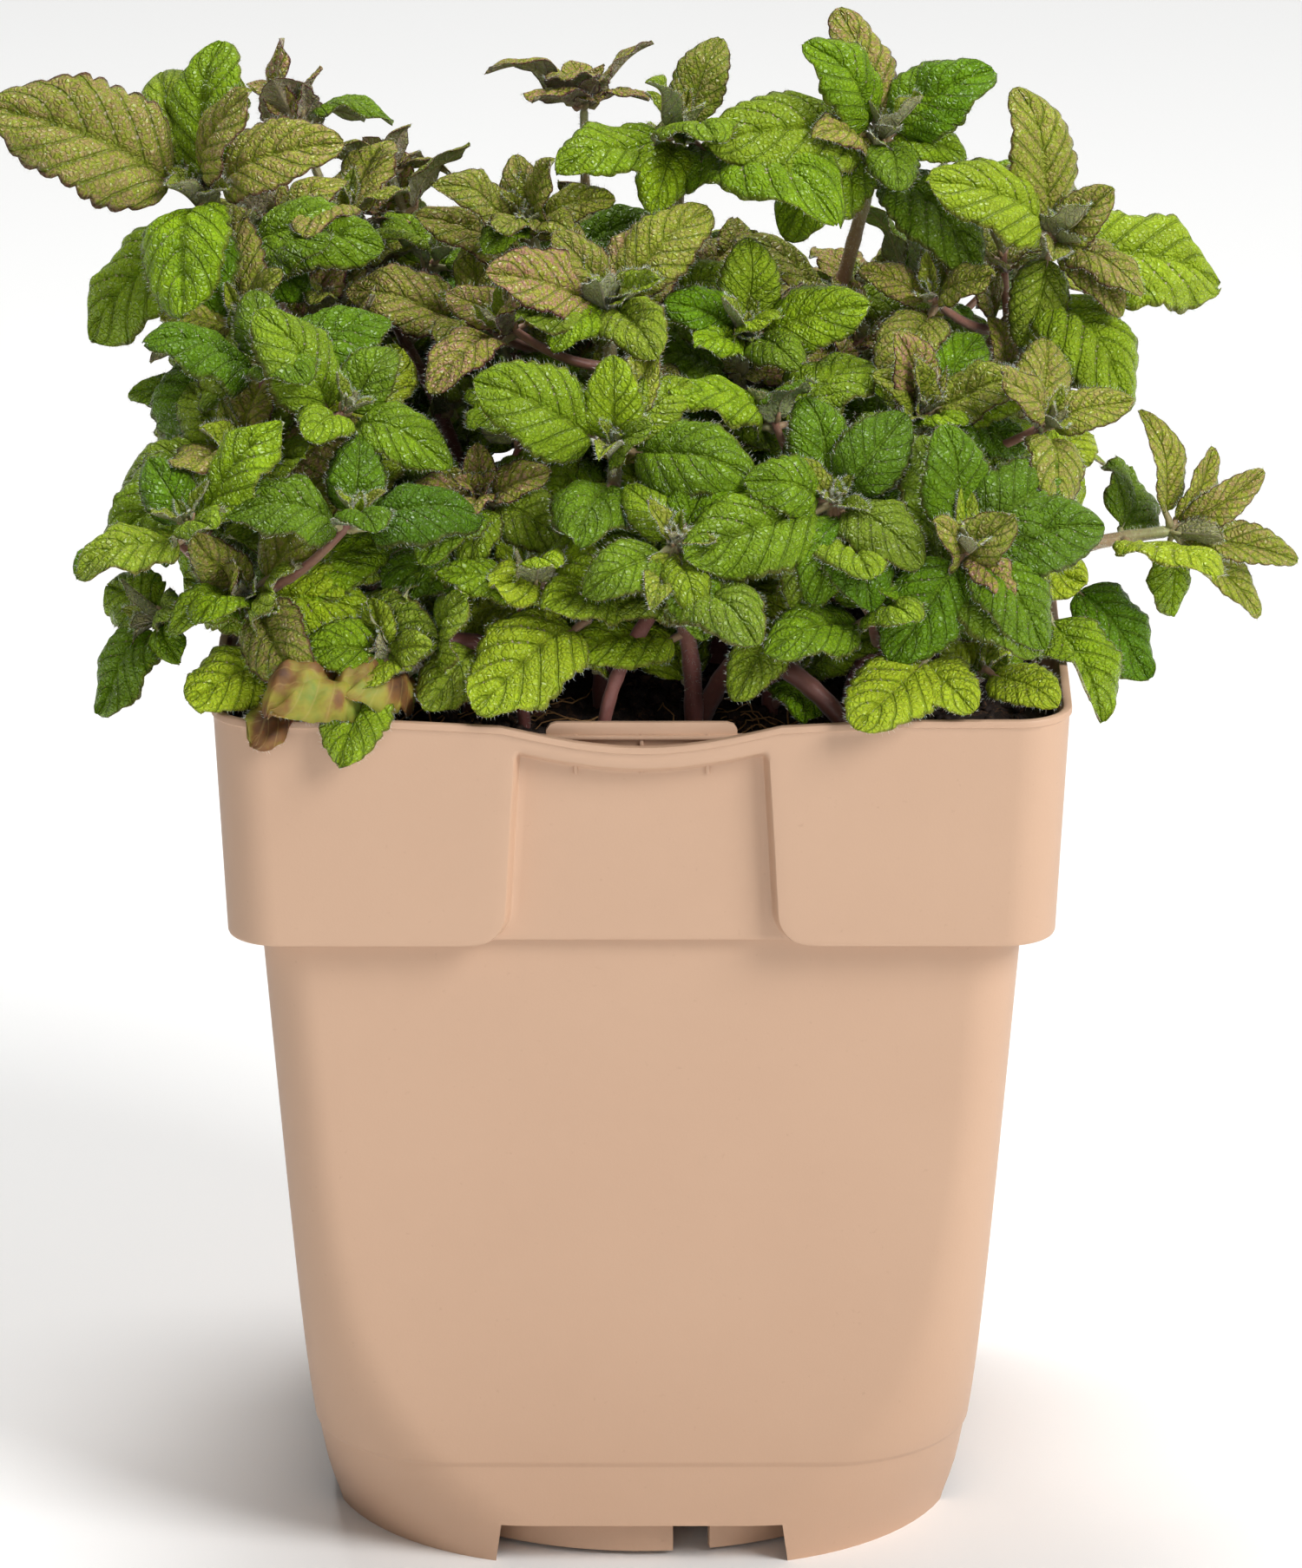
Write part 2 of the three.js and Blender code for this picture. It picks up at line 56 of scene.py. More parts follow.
# %% A pile of points and faces
class Pile:
    """Points, faces, blade places and tints, gathered in millimetres until a mesh is made."""

    def __init__(self):
        self.points, self.places, self.tints, self.faces, self.count = [], [], [], [], 0

    def add(self, points, faces, places=None, tint=(0, 0, 0.5, 0)):
        """faces is a list of (array of corners, material number)."""
        points = np.asarray(points, float).reshape(-1, 3)
        self.points.append(points)
        self.places.append(np.zeros((len(points), 2)) if places is None else places.reshape(-1, 2))
        self.tints.append(np.tile(np.asarray(tint, float), (len(points), 1)))
        self.faces += [(np.asarray(corners) + self.count, finish) for corners, finish in faces]
        self.count += len(points)

    def make(self, name, materials, replaced=(), material_slot="leaf_skin"):
        """One object on the root body, shown in place of the CAD nodes named."""
        mesh = bpy.data.meshes.new(name)
        mesh.vertices.add(self.count)
        mesh.vertices.foreach_set("co", (np.concatenate(self.points) * MM).ravel())
        corners = np.concatenate([part.ravel() for part, _ in self.faces])
        sizes = np.concatenate([np.full(len(part), part.shape[1]) for part, _ in self.faces])
        finishes = np.concatenate([np.full(len(part), finish) for part, finish in self.faces])
        mesh.loops.add(len(corners))
        mesh.loops.foreach_set("vertex_index", corners)
        mesh.polygons.add(len(sizes))
        mesh.polygons.foreach_set("loop_start", np.concatenate([[0], np.cumsum(sizes)[:-1]]))
        mesh.polygons.foreach_set("material_index", finishes)
        mesh.polygons.foreach_set("use_smooth", np.ones(len(sizes), bool))
        blade = mesh.uv_layers.new(name="blade")
        blade.data.foreach_set("uv", np.concatenate(self.places)[corners].ravel())
        tint = mesh.color_attributes.new(name="leaf", type="FLOAT_COLOR", domain="POINT")
        tint.data.foreach_set("color", np.concatenate(self.tints).ravel())
        mesh.update()
        for material in materials:
            mesh.materials.append(material)
        piece = bpy.data.objects.new(name, mesh)
        bpy.context.scene.collection.objects.link(piece)
        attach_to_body(piece, "root")
        if replaced:
            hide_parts(*replaced)
        return piece


print("a pile keeps:", ", ".join(vars(Pile())))

# %% [markdown]
# ## Vectors and tubes
# Stems, leaf stalks and loose fibres are all tubes: a ring of points carried along a path. The ring
# is turned as little as it can be from one step to the next, so that the tube never twists. A wild
# basil stem is square with rounded edges, as all plants of the mint family are, so the ring can be
# pushed out at four corners.

# %% Unit vectors and tubes
def unit(vectors):
    vectors = np.asarray(vectors, float)
    return vectors / np.maximum(np.linalg.norm(vectors, axis=-1, keepdims=True), 1e-9)


def tube(path, radii, sides=8, square=0.0):
    """Points and faces of a closed tube along a path."""
    path = np.asarray(path, float)
    ahead = unit(np.gradient(path, axis=0))
    side = np.cross(ahead[0], [0.31, 0.17, 0.93] if abs(ahead[0][2]) < 0.8 else [1, 0.2, 0])
    angles = np.arange(sides) * 2 * np.pi / sides
    swell = 1 + square * np.cos(4 * angles)
    rings = []
    for centre, forward, radius in zip(path, ahead, radii):
        side = unit(side - forward * (side @ forward))
        up = np.cross(forward, side)
        ring = np.outer(np.cos(angles) * swell, side) + np.outer(np.sin(angles) * swell, up)
        rings.append(centre + radius * ring)
    points = np.concatenate([*rings, path[:1], path[-1:]])
    steps = np.arange(len(path) - 1)[:, None] * sides
    here = np.arange(sides)[None, :]
    after = (here + 1) % sides
    walls = np.stack([here + steps, after + steps, after + steps + sides, here + steps + sides], -1)
    first, last, end = len(points) - 2, len(points) - 1, (len(path) - 1) * sides
    around, onward = here[0], after[0]
    low = np.stack([onward, around, np.full(sides, first)], -1)
    high = np.stack([around + end, onward + end, np.full(sides, last)], -1)
    return points, walls.reshape(-1, 4), np.concatenate([low, high])


print("a tube of 3 rings:", len(tube([(0, 0, 0), (0, 0, 1), (0, 0, 2)], [1, 1, 1])[0]), "points")

# %% [markdown]
# ## Colours and nodes
# Colours are written as sRGB hex values, as a paint chart gives them, and one function turns them
# to the linear values that Blender works with. A second function adds a node with its settings and
# links.

# %% Colour and node helpers
def linear(code):
    """An sRGB hex colour as linear red, green, blue and alpha."""
    shares = [int(code[i : i + 2], 16) / 255 for i in (1, 3, 5)]
    return (*[c / 12.92 if c <= 0.04045 else ((c + 0.055) / 1.055) ** 2.4 for c in shares], 1.0)


def add_node(tree, kind, settings=None, inputs=None):
    """A shader node of that kind. An input is a value, or an output of another node to link from."""
    made = tree.nodes.new("ShaderNode" + kind)
    for field, value in (settings or {}).items():
        setattr(made, field, value)
    for socket, value in (inputs or {}).items():
        if isinstance(value, bpy.types.NodeSocket):
            tree.links.new(value, made.inputs[socket])
        else:
            made.inputs[socket].default_value = value
    return made


def new_material(name):
    """A material with a bare Principled shader: the material, its node tree and the shader."""
    material = bpy.data.materials.new(name)
    material.use_nodes = True
    tree = material.node_tree
    return material, tree, tree.nodes["Principled BSDF"]


# Settings that many nodes share
COLOURS = {"data_type": "RGBA"}
SMOOTH = {"interpolation_type": "SMOOTHSTEP"}
MULTIPLY = {"operation": "MULTIPLY"}
MULTIPLY_ADD = {"operation": "MULTIPLY_ADD"}
MAXIMUM = {"operation": "MAXIMUM"}
print("#808080 is", round(linear("#808080")[0], 3), "in linear light")

# %% [markdown]
# ## Pot plastic
# The pot is polypropylene with a little recycled plastic in it, injection moulded in a tool with a
# fine spark-eroded grain. That gives an even, matt, warm beige with a soft wide highlight. Close up
# there are faint flow clouds about 30 mm across, which the hot plastic leaves as it fills the thin
# wall, and a grain of about 0.35 mm. Polypropylene has an IOR of 1.49 and this finish a roughness
# near 0.5.

# %% Moulded polypropylene
def moulded_polypropylene():
    material, tree, shader = new_material("moulded_polypropylene")
    place = add_node(tree, "TexCoord").outputs["Object"]
    flow = add_node(
        tree, "TexNoise", None, {"Vector": place, "Scale": 1 / (30 * MM), "Detail": 3.0}
    ).outputs[0]
    fleck = add_node(
        tree, "TexNoise", None, {"Vector": place, "Scale": 1 / (1.1 * MM), "Detail": 2.0}
    ).outputs[0]
    rare = add_node(tree, "MapRange", None, {0: fleck, 1: 0.70, 2: 0.80, 3: 0.0, 4: 0.16}).outputs[0]
    clouds = add_node(
        tree, "Mix", COLOURS, {0: flow, 6: linear("#c39f84"), 7: linear("#c9a68b")}
    ).outputs[2]
    colour = add_node(tree, "Mix", COLOURS, {0: rare, 6: clouds, 7: linear("#977860")}).outputs[2]
    grain = add_node(
        tree, "TexNoise", None, {"Vector": place, "Scale": 1 / (0.35 * MM), "Detail": 1.0}
    ).outputs[0]
    bump = add_node(
        tree, "Bump", None, {"Strength": 0.22, "Distance": 0.05 * MM, "Height": grain}
    ).outputs[0]
    gloss = add_node(tree, "MapRange", None, {0: flow, 1: 0.3, 2: 0.7, 3: 0.46, 4: 0.54}).outputs[0]
    tree.links.new(colour, shader.inputs["Base Color"])
    tree.links.new(gloss, shader.inputs["Roughness"])
    tree.links.new(bump, shader.inputs["Normal"])
    shader.inputs["IOR"].default_value = 1.49
    return material


POT_PLASTIC = moulded_polypropylene()
print("pot plastic:", len(POT_PLASTIC.node_tree.nodes), "nodes")

# %% [markdown]
# ## Peat and coir
# Potting soil is dark peat with coir fibre. Wet peat is almost black-brown and dull, with a slight
# shine on its damp crumbs, in lumps of 1 to 3 mm with lighter strands. Damp peat has a roughness
# near 0.85.

# %% Damp peat
def damp_peat():
    material, tree, shader = new_material("damp_peat")
    place = add_node(tree, "TexCoord").outputs["Object"]
    lumps = add_node(
        tree, "TexNoise", None, {"Vector": place, "Scale": 1 / (2.5 * MM), "Detail": 6.0}
    ).outputs[0]
    dark = add_node(
        tree, "Mix", COLOURS, {0: lumps, 6: linear("#0d0806"), 7: linear("#35231a")}
    ).outputs[2]
    strands = add_node(
        tree,
        "TexWave",
        {"wave_type": "BANDS"},
        {"Vector": place, "Scale": 1 / (9 * MM), "Distortion": 14.0, "Detail": 4, "Detail Scale": 3},
    ).outputs["Fac"]
    thin = add_node(tree, "MapRange", None, {0: strands, 1: 0.93, 2: 1.0, 3: 0.0, 4: 0.5}).outputs[0]
    colour = add_node(tree, "Mix", COLOURS, {0: thin, 6: dark, 7: linear("#6b4a2c")}).outputs[2]
    bump = add_node(
        tree, "Bump", None, {"Strength": 1.0, "Distance": 0.8 * MM, "Height": lumps}
    ).outputs[0]
    tree.links.new(colour, shader.inputs["Base Color"])
    tree.links.new(bump, shader.inputs["Normal"])
    shader.inputs["Roughness"].default_value = 0.85
    return material


PEAT = damp_peat()
print("peat:", len(PEAT.node_tree.nodes), "nodes")

# %% [markdown]
# ## Coir, bark and perlite
# Coir strands, bark chips and grains of perlite lie loose on the peat. They are dry, so they are
# dull with a roughness near 0.9, and mottled. They differ in colour only, so one recipe with a pale
# and a dark colour makes all three.

# %% Dry bits in the soil
def dry_bits(name, pale, dark):
    """A dry bit with a pale and a dark colour, mottled at about 0.6 mm."""
    material, tree, shader = new_material(name)
    place = add_node(tree, "TexCoord").outputs["Object"]
    mottle = add_node(
        tree, "TexNoise", None, {"Vector": place, "Scale": 1 / (0.6 * MM), "Detail": 4.0}
    ).outputs[0]
    bump = add_node(
        tree, "Bump", None, {"Strength": 0.6, "Distance": 0.1 * MM, "Height": mottle}
    ).outputs[0]
    colour = add_node(tree, "Mix", COLOURS, {0: mottle, 6: linear(dark), 7: linear(pale)}).outputs[2]
    tree.links.new(colour, shader.inputs["Base Color"])
    tree.links.new(bump, shader.inputs["Normal"])
    shader.inputs["Roughness"].default_value = 0.9
    return material


COIR = dry_bits("coir_fibre", "#c89a63", "#7a5330")
WOOD_CHIP = dry_bits("bark_chip", "#6b4a33", "#2a1a10")
PERLITE = dry_bits("perlite_grain", "#e8e2d6", "#b9b0a0")
print("dry bits:", COIR.name, WOOD_CHIP.name, PERLITE.name)

# %% [markdown]
# ## Stem skin
# A young stem is green-white to pink and silky with down. Further down it turns red-brown and
# smooth, with fine streaks that run along it about 0.3 mm apart. How far along the stem a point is
# comes from the UV map, so the colour can change from the soil to the tip.

# %% Stem skin
def stem_skin():
    material, tree, shader = new_material("stem_skin")
    place = add_node(tree, "TexCoord").outputs["Object"]
    blade = add_node(tree, "UVMap", {"uv_map": "blade"}).outputs[0]
    along = add_node(tree, "SeparateXYZ", None, {0: blade}).outputs[0]
    patches = add_node(
        tree, "TexNoise", None, {"Vector": place, "Scale": 1 / (6 * MM), "Detail": 4.0}
    ).outputs[0]
    shifted = add_node(tree, "Math", MULTIPLY_ADD, {0: patches, 1: 0.35, 2: -0.17}).outputs[0]
    ripeness = add_node(tree, "Math", {"operation": "ADD"}, {0: along, 1: shifted}).outputs[0]
    ramp = add_node(tree, "ValToRGB", None, {0: ripeness})
    stops = ramp.color_ramp.elements
    stops[0].position, stops[0].color = 0.0, linear("#5b3a2c")
    stops[1].position, stops[1].color = 1.0, linear("#a9ad74")
    for position, code in ((0.3, "#7a4640"), (0.55, "#935f56"), (0.8, "#a98b68")):
        stop = stops.new(position)
        stop.color = linear(code)
    streaks = add_node(
        tree, "TexNoise", None, {"Vector": place, "Scale": 1 / (0.5 * MM), "Detail": 2.0}
    ).outputs[0]
    softened = add_node(
        tree, "MapRange", None, {0: streaks, 1: 0.3, 2: 0.7, 3: 0.0, 4: 0.35}
    ).outputs[0]
    colour = add_node(
        tree, "Mix", COLOURS, {0: softened, 6: ramp.outputs[0], 7: linear("#6a4038")}
    ).outputs[2]
    bump = add_node(
        tree, "Bump", None, {"Strength": 0.5, "Distance": 0.12 * MM, "Height": streaks}
    ).outputs[0]
    tree.links.new(colour, shader.inputs["Base Color"])
    tree.links.new(bump, shader.inputs["Normal"])
    shader.inputs["Roughness"].default_value = 0.5
    shader.inputs["Sheen Weight"].default_value = 0.2
    shader.inputs["Subsurface Weight"].default_value = 0.15
    shader.inputs["Subsurface Scale"].default_value = 0.8 * MM
    return material


STEM_SKIN = stem_skin()
print("stem skin:", len(STEM_SKIN.node_tree.nodes), "nodes")

# %% [markdown]
# ## Leaf skin
# A leaf has a waxy green upper face, quilted between sunken veins, and a paler, downy underside
# with raised veins. Young leaves at the tips are bronze to purple between the veins and along the
# edge, and old ones low down turn yellow. One family of materials does all of that: the UV map says
# where a point is on its blade, which draws the veins, and the colour attribute says how bronze
# (red), how yellow (green), which leaf (blue) and how dark (alpha) it is. Leaf wax has an IOR near
# 1.45 and the surface a roughness near 0.45, and light that goes into the thin blade comes out
# again a warmer green.

# %% How the veins run
VEIN_PAIRS = 6.0
VEIN_LEAN = 0.34  # how far a side vein runs towards the tip on its way to the edge, over the length
print("side veins:", VEIN_PAIRS, "pairs, each leaning forward by", VEIN_LEAN, "of the length")

# %% [markdown]
# ### Veins from the place on the blade
# A painted texture could hold the veins, but every leaf has another shape. So they are worked out
# from the UV map: a side vein lies wherever the distance along the blade, less the lean, reaches a
# sixth of the length. Four masks come out of it, for the side veins, the midrib, the edge and the
# soft grooves beside the side veins, where shade is painted into the colour.

# %% Vein masks
def vein_masks(tree):
    """Outputs that are 1 on side veins, on the midrib, on the edge and in the side veins' grooves,
    where shade is painted.
    """
    blade = add_node(tree, "UVMap", {"uv_map": "blade"}).outputs[0]
    place = add_node(tree, "SeparateXYZ", None, {0: blade})
    centred = add_node(tree, "Math", MULTIPLY_ADD, {0: place.outputs[1], 1: 2.0, 2: -1.0}).outputs[0]
    across = add_node(tree, "Math", {"operation": "ABSOLUTE"}, {0: centred}).outputs[0]
    leaning = add_node(
        tree, "Math", MULTIPLY_ADD, {0: across, 1: -VEIN_LEAN, 2: place.outputs[0]}
    ).outputs[0]
    phase = add_node(tree, "Math", MULTIPLY, {0: leaning, 1: VEIN_PAIRS}).outputs[0]
    off_vein = add_node(tree, "Math", {"operation": "PINGPONG"}, {0: phase, 1: 0.5}).outputs[0]
    vein = add_node(
        tree, "MapRange", SMOOTH, {0: off_vein, 1: 0.01, 2: 0.09, 3: 1.0, 4: 0.0}
    ).outputs[0]
    # The grooves beside the side veins: this mask carries painted shade into the colour.
    groove_shade = add_node(
        tree, "MapRange", SMOOTH, {0: off_vein, 1: 0.05, 2: 0.2, 3: 1.0, 4: 0.0}
    ).outputs[0]
    midrib = add_node(
        tree, "MapRange", SMOOTH, {0: across, 1: 0.015, 2: 0.085, 3: 1.0, 4: 0.0}
    ).outputs[0]
    edge = add_node(
        tree, "MapRange", SMOOTH, {0: across, 1: 0.91, 2: 0.985, 3: 0.0, 4: 1.0}
    ).outputs[0]
    return vein, midrib, edge, groove_shade

# %% [markdown]
# ### Colour of a leaf
# Both faces are coloured by one recipe with two sets of colours. It goes from the broad to the fine:
# the green of the leaf, its patches, its yellowing and bronze, purple specks, painted shade in the
# grooves beside the side veins, veins and edge. The colours are mixed in that order because each lies
# over the one before, as in the real skin; the painted shade stands in for the shade that the sunken
# grooves hold.

# %% Colour of a leaf
def leaf_colour(tree, upper, ribs, edge, groove_shade, speckle):
    """The output that carries the colour of one face."""
    place = add_node(tree, "TexCoord").outputs["Object"]
    tint = add_node(tree, "Attribute", {"attribute_name": "leaf"})
    parts = add_node(tree, "SeparateColor", None, {0: tint.outputs["Color"]})
    bronze, yellow, which = parts.outputs
    shade = tint.outputs["Alpha"]
    mottle = add_node(
        tree, "TexNoise", None, {"Vector": place, "Scale": 1 / (4 * MM), "Detail": 4.0}
    ).outputs[0]
    if upper:
        pale_green, full_green, old_green = linear("#5e8c08"), linear("#a3c41c"), linear("#4e7611")
        ripe, dusk, gold = linear("#a39d40"), linear("#b27d74"), linear("#b9c830")
        rib = linear("#9cae40")
        deep = linear("#406006")
    else:
        pale_green, full_green, old_green = linear("#95a060"), linear("#afb47c"), linear("#748a5c")
        ripe, dusk, gold = linear("#a79c74"), linear("#96716a"), linear("#c4c070")
        rib = linear("#cbb496")
        deep = linear("#7c8a54")
    # From leaf to leaf the green changes, and a shaded old leaf is darker and bluer.
    green = add_node(tree, "Mix", COLOURS, {0: which, 6: pale_green, 7: full_green}).outputs[2]
    green = add_node(tree, "Mix", COLOURS, {0: shade, 6: green, 7: old_green}).outputs[2]
    patchy = add_node(
        tree, "MapRange", None, {0: mottle, 1: 0.35, 2: 0.7, 3: 0.0, 4: 0.55}
    ).outputs[0]
    green = add_node(tree, "Mix", COLOURS, {0: patchy, 6: green, 7: deep}).outputs[2]
    green = add_node(tree, "Mix", COLOURS, {0: yellow, 6: green, 7: gold}).outputs[2]
    ripening = add_node(tree, "Math", MULTIPLY, {0: bronze, 1: 0.8}).outputs[0]
    grown = add_node(tree, "Mix", COLOURS, {0: ripening, 6: green, 7: ripe}).outputs[2]
    # Purple comes in fine specks between the veins, on leaves that are far more than half bronze.
    specks = add_node(
        tree, "MapRange", None, {0: speckle, 1: 0.42, 2: 0.60, 3: 0.0, 4: 0.85}
    ).outputs[0]
    between = add_node(tree, "Math", MULTIPLY_ADD, {0: ribs, 1: -0.8, 2: 0.95}).outputs[0]
    strong = add_node(tree, "Math", {"operation": "POWER"}, {0: bronze, 1: 2.0}).outputs[0]
    fine = add_node(tree, "Math", MULTIPLY, {0: specks, 1: between}).outputs[0]
    purple = add_node(tree, "Math", MULTIPLY, {0: fine, 1: strong}).outputs[0]
    body = add_node(tree, "Mix", COLOURS, {0: purple, 6: grown, 7: dusk}).outputs[2]
    # Painted shade: on the upper face the grooves beside the side veins are darkened towards deep
    # green, as the shade they would hold. The underside gets none.
    groove_shade_share = add_node(tree, "Math", MULTIPLY, {0: groove_shade, 1: 0.27 if upper else 0.0}).outputs[0]
    groove_shaded = add_node(tree, "Mix", COLOURS, {0: groove_shade_share, 6: body, 7: deep}).outputs[2]
    lit = add_node(tree, "Math", MULTIPLY, {0: ribs, 1: 0.10 if upper else 0.5}).outputs[0]
    ribbed = add_node(tree, "Mix", COLOURS, {0: lit, 6: groove_shaded, 7: rib}).outputs[2]
    flush = add_node(tree, "Math", MULTIPLY_ADD, {0: bronze, 1: 0.55, 2: 0.45}).outputs[0]
    seam = add_node(tree, "Math", MULTIPLY, {0: edge, 1: flush}).outputs[0]
    return add_node(tree, "Mix", COLOURS, {0: seam, 6: ribbed, 7: linear("#5c2c30")}).outputs[2]

# %% [markdown]
# ### Relief of a leaf
# The big swellings are in the mesh, and a bump adds what is finer: the cells between the side
# veins, the net of the finest veins, and the veins themselves, sunken on the upper face and raised
# beneath.

# %% Relief of a leaf
def leaf_relief(tree, upper, ribs):
    """The output that carries the bent normal of one face."""
    place = add_node(tree, "TexCoord").outputs["Object"]
    # The net of the finest veins is 0.4 mm on a real blade, and is drawn at 0.8 mm so that it shows.
    to_edge = {"feature": "DISTANCE_TO_EDGE"}
    net = add_node(
        tree, "TexVoronoi", to_edge, {"Vector": place, "Scale": 1 / (0.8 * MM)}
    ).outputs[0]
    cells = add_node(tree, "MapRange", None, {0: net, 1: 0.0, 2: 0.25, 3: 0.0, 4: 1.0}).outputs[0]
    # Between the side veins the blade swells again in cells about 2.2 mm across.
    quilt = add_node(
        tree,
        "TexVoronoi",
        {"feature": "SMOOTH_F1"},
        {"Vector": place, "Scale": 1 / (2.2 * MM), "Smoothness": 0.6},
    ).outputs["Distance"]
    swollen = add_node(tree, "Math", MULTIPLY_ADD, {0: quilt, 1: -2.6, 2: cells}).outputs[0]
    relief = add_node(
        tree, "Math", MULTIPLY_ADD, {0: ribs, 1: -2.2 if upper else 2.5, 2: swollen}
    ).outputs[0]
    depth = 0.28 * MM
    return add_node(
        tree, "Bump", None, {"Strength": 1.0, "Distance": depth, "Height": relief}
    ).outputs[0]

# %% [markdown]
# ### The two skins
# Wax makes the upper face glossier than the downy underside, and the gloss changes a little from
# spot to spot. What is the same all over a face, such as its IOR, is set on the shader itself.

# %% Upper and lower leaf skin
def leaf_skin(name, upper):
    material, tree, shader = new_material(name)
    place = add_node(tree, "TexCoord").outputs["Object"]
    vein, midrib, edge, groove_shade = vein_masks(tree)
    ribs = add_node(tree, "Math", MAXIMUM, {0: vein, 1: midrib}).outputs[0]
    speckle = add_node(
        tree, "TexNoise", None, {"Vector": place, "Scale": 1 / (0.7 * MM), "Detail": 3.0}
    ).outputs[0]
    colour = leaf_colour(tree, upper, ribs, edge, groove_shade, speckle)
    tree.links.new(colour, shader.inputs["Base Color"])
    tree.links.new(leaf_relief(tree, upper, ribs), shader.inputs["Normal"])
    gloss = add_node(
        tree,
        "MapRange",
        None,
        {0: speckle, 1: 0.3, 2: 0.7, 3: 0.22 if upper else 0.6, 4: 0.34 if upper else 0.75},
    ).outputs[0]
    tree.links.new(gloss, shader.inputs["Roughness"])
    shader.inputs["IOR"].default_value = 1.45
    shader.inputs["Specular IOR Level"].default_value = 0.34 if upper else 0.2
    shader.inputs["Sheen Weight"].default_value = 0.01 if upper else 0.25
    shader.inputs["Sheen Roughness"].default_value = 0.5
    shader.inputs["Subsurface Weight"].default_value = 0.35
    shader.inputs["Subsurface Radius"].default_value = (0.7, 1.0, 0.25)
    shader.inputs["Subsurface Scale"].default_value = 0.6 * MM
    return material


LEAF_UPPER = leaf_skin("waxy_leaf_upper", True)
LEAF_UNDER = leaf_skin("downy_leaf_under", False)
LEAF_FINISHES = [LEAF_UPPER, LEAF_UNDER, STEM_SKIN]
print("leaf skin:", len(LEAF_UPPER.node_tree.nodes), "nodes on each face")

# %% [markdown]
# ## Down
# Young leaves and stems are silky with fine hairs. A hair is an empty plant cell, so light goes
# into it and it looks white. Blender's own hair strands would be lost when the model is exported,
# so each hair is a thin closed spike, and this is its material. Real hairs are about 0.02 mm thick,
# and they are drawn up to twice as thick so that they show.

# %% Down
def silky_down():
    """White hairs that let a little light through and shine softly."""
    material, tree, shader = new_material("silky_down")
    place = add_node(tree, "TexCoord").outputs["Object"]
    strands = add_node(
        tree, "TexNoise", None, {"Vector": place, "Scale": 1 / (3 * MM), "Detail": 2.0}
    ).outputs[0]
    colours = {0: strands, 6: linear("#e6ead2"), 7: linear("#fbf9f0")}
    colour = add_node(tree, "Mix", COLOURS, colours).outputs[2]
    tree.links.new(colour, shader.inputs["Base Color"])
    shader.inputs["Roughness"].default_value = 0.45
    shader.inputs["Subsurface Weight"].default_value = 0.2
    shader.inputs["Subsurface Scale"].default_value = 0.1 * MM
    return material


DOWN = silky_down()
print("down:", len(DOWN.node_tree.nodes), "nodes")

# %% [markdown]
# ## Withered leaf
# The oldest leaves at the rim have dried to thin brown paper. Their wax has gone, so the roughness
# is near 0.65, and green is left in patches about 8 mm across. Noise through a colour ramp gives
# the passage from green over ochre to brown, and the veins stay paler than the blade.

# %% Withered leaf
def withered_leaf():
    material, tree, shader = new_material("withered_leaf")
    place = add_node(tree, "TexCoord").outputs["Object"]
    vein, midrib, _, _ = vein_masks(tree)
    patches = add_node(
        tree, "TexNoise", None, {"Vector": place, "Scale": 1 / (8 * MM), "Detail": 5.0}
    ).outputs[0]
    ramp = add_node(tree, "ValToRGB", None, {0: patches})
    stops = ramp.color_ramp.elements
    stops[0].position, stops[0].color = 0.34, linear("#76862a")
    stops[1].position, stops[1].color = 0.70, linear("#43261a")
    for position, code in ((0.46, "#97902f"), (0.56, "#80592b")):
        stop = stops.new(position)
        stop.color = linear(code)
    ribs = add_node(tree, "Math", MAXIMUM, {0: vein, 1: midrib}).outputs[0]
    lit = add_node(tree, "Math", MULTIPLY, {0: ribs, 1: 0.3}).outputs[0]
    colour = add_node(
        tree, "Mix", COLOURS, {0: lit, 6: ramp.outputs[0], 7: linear("#b39a5a")}
    ).outputs[2]
    bump = add_node(
        tree, "Bump", None, {"Strength": 0.8, "Distance": 0.3 * MM, "Height": patches}
    ).outputs[0]
    tree.links.new(colour, shader.inputs["Base Color"])
    tree.links.new(bump, shader.inputs["Normal"])
    shader.inputs["Roughness"].default_value = 0.65
    shader.inputs["Subsurface Weight"].default_value = 0.3
    shader.inputs["Subsurface Scale"].default_value = 0.6 * MM
    return material


WITHERED = withered_leaf()
print("materials:", len(bpy.data.materials))

# %% [markdown]
# ## The pot
# The pot is one thin moulding: a tapering body whose corners grow round towards the foot, and a
# collar with a raised panel at each corner. A loft suits it: one closed section at each height, all
# with the same number of points, so that the panels' edges and the dip in the rim can be followed
# exactly. The sizes are those of the CAD pot, and the edges that a tool leaves soft are given their
# small rounds.

# %% Sizes of the pot
RIM_LEVEL, RIM_HALF = 145.3, 65.0
COLLAR_LOW, COLLAR_TAPER, LEDGE = 108.3, 1.8, 4.9
SEAM_LEVEL, SEAM_HALF, FOOT_HALF = 17.7, 51.4, 49.65
FLOOR_LOW, FLOOR_TOP = 8.0, 9.5
BODY_TOP_HALF = RIM_HALF - COLLAR_TAPER - LEDGE
WALL = 1.0
RECESS_DEPTH = 3.0  # how far a side stands back between two corner panels
RECESS_HALF, RECESS_TAPER = 20, 2  # half its width at the collar's lower edge, and less at the rim
PANEL_ROUND = 5  # round of a panel's lower corner
DIP_DEPTH, DIP_HALF = 4.2, 26  # the dip in the middle of each side of the rim
print("pot:", 2 * RIM_HALF, "mm across the rim,", RIM_LEVEL, "mm high, wall", WALL, "mm")

# %% [markdown]
# ### Widths and levels
# A tapering pot is easiest to describe by a few small functions of the height: how wide it is, how
# round its corners are and where the panels end. Levels along the rim are functions too, because
# the rim dips in the middle of each side and the rows below it gradually follow.

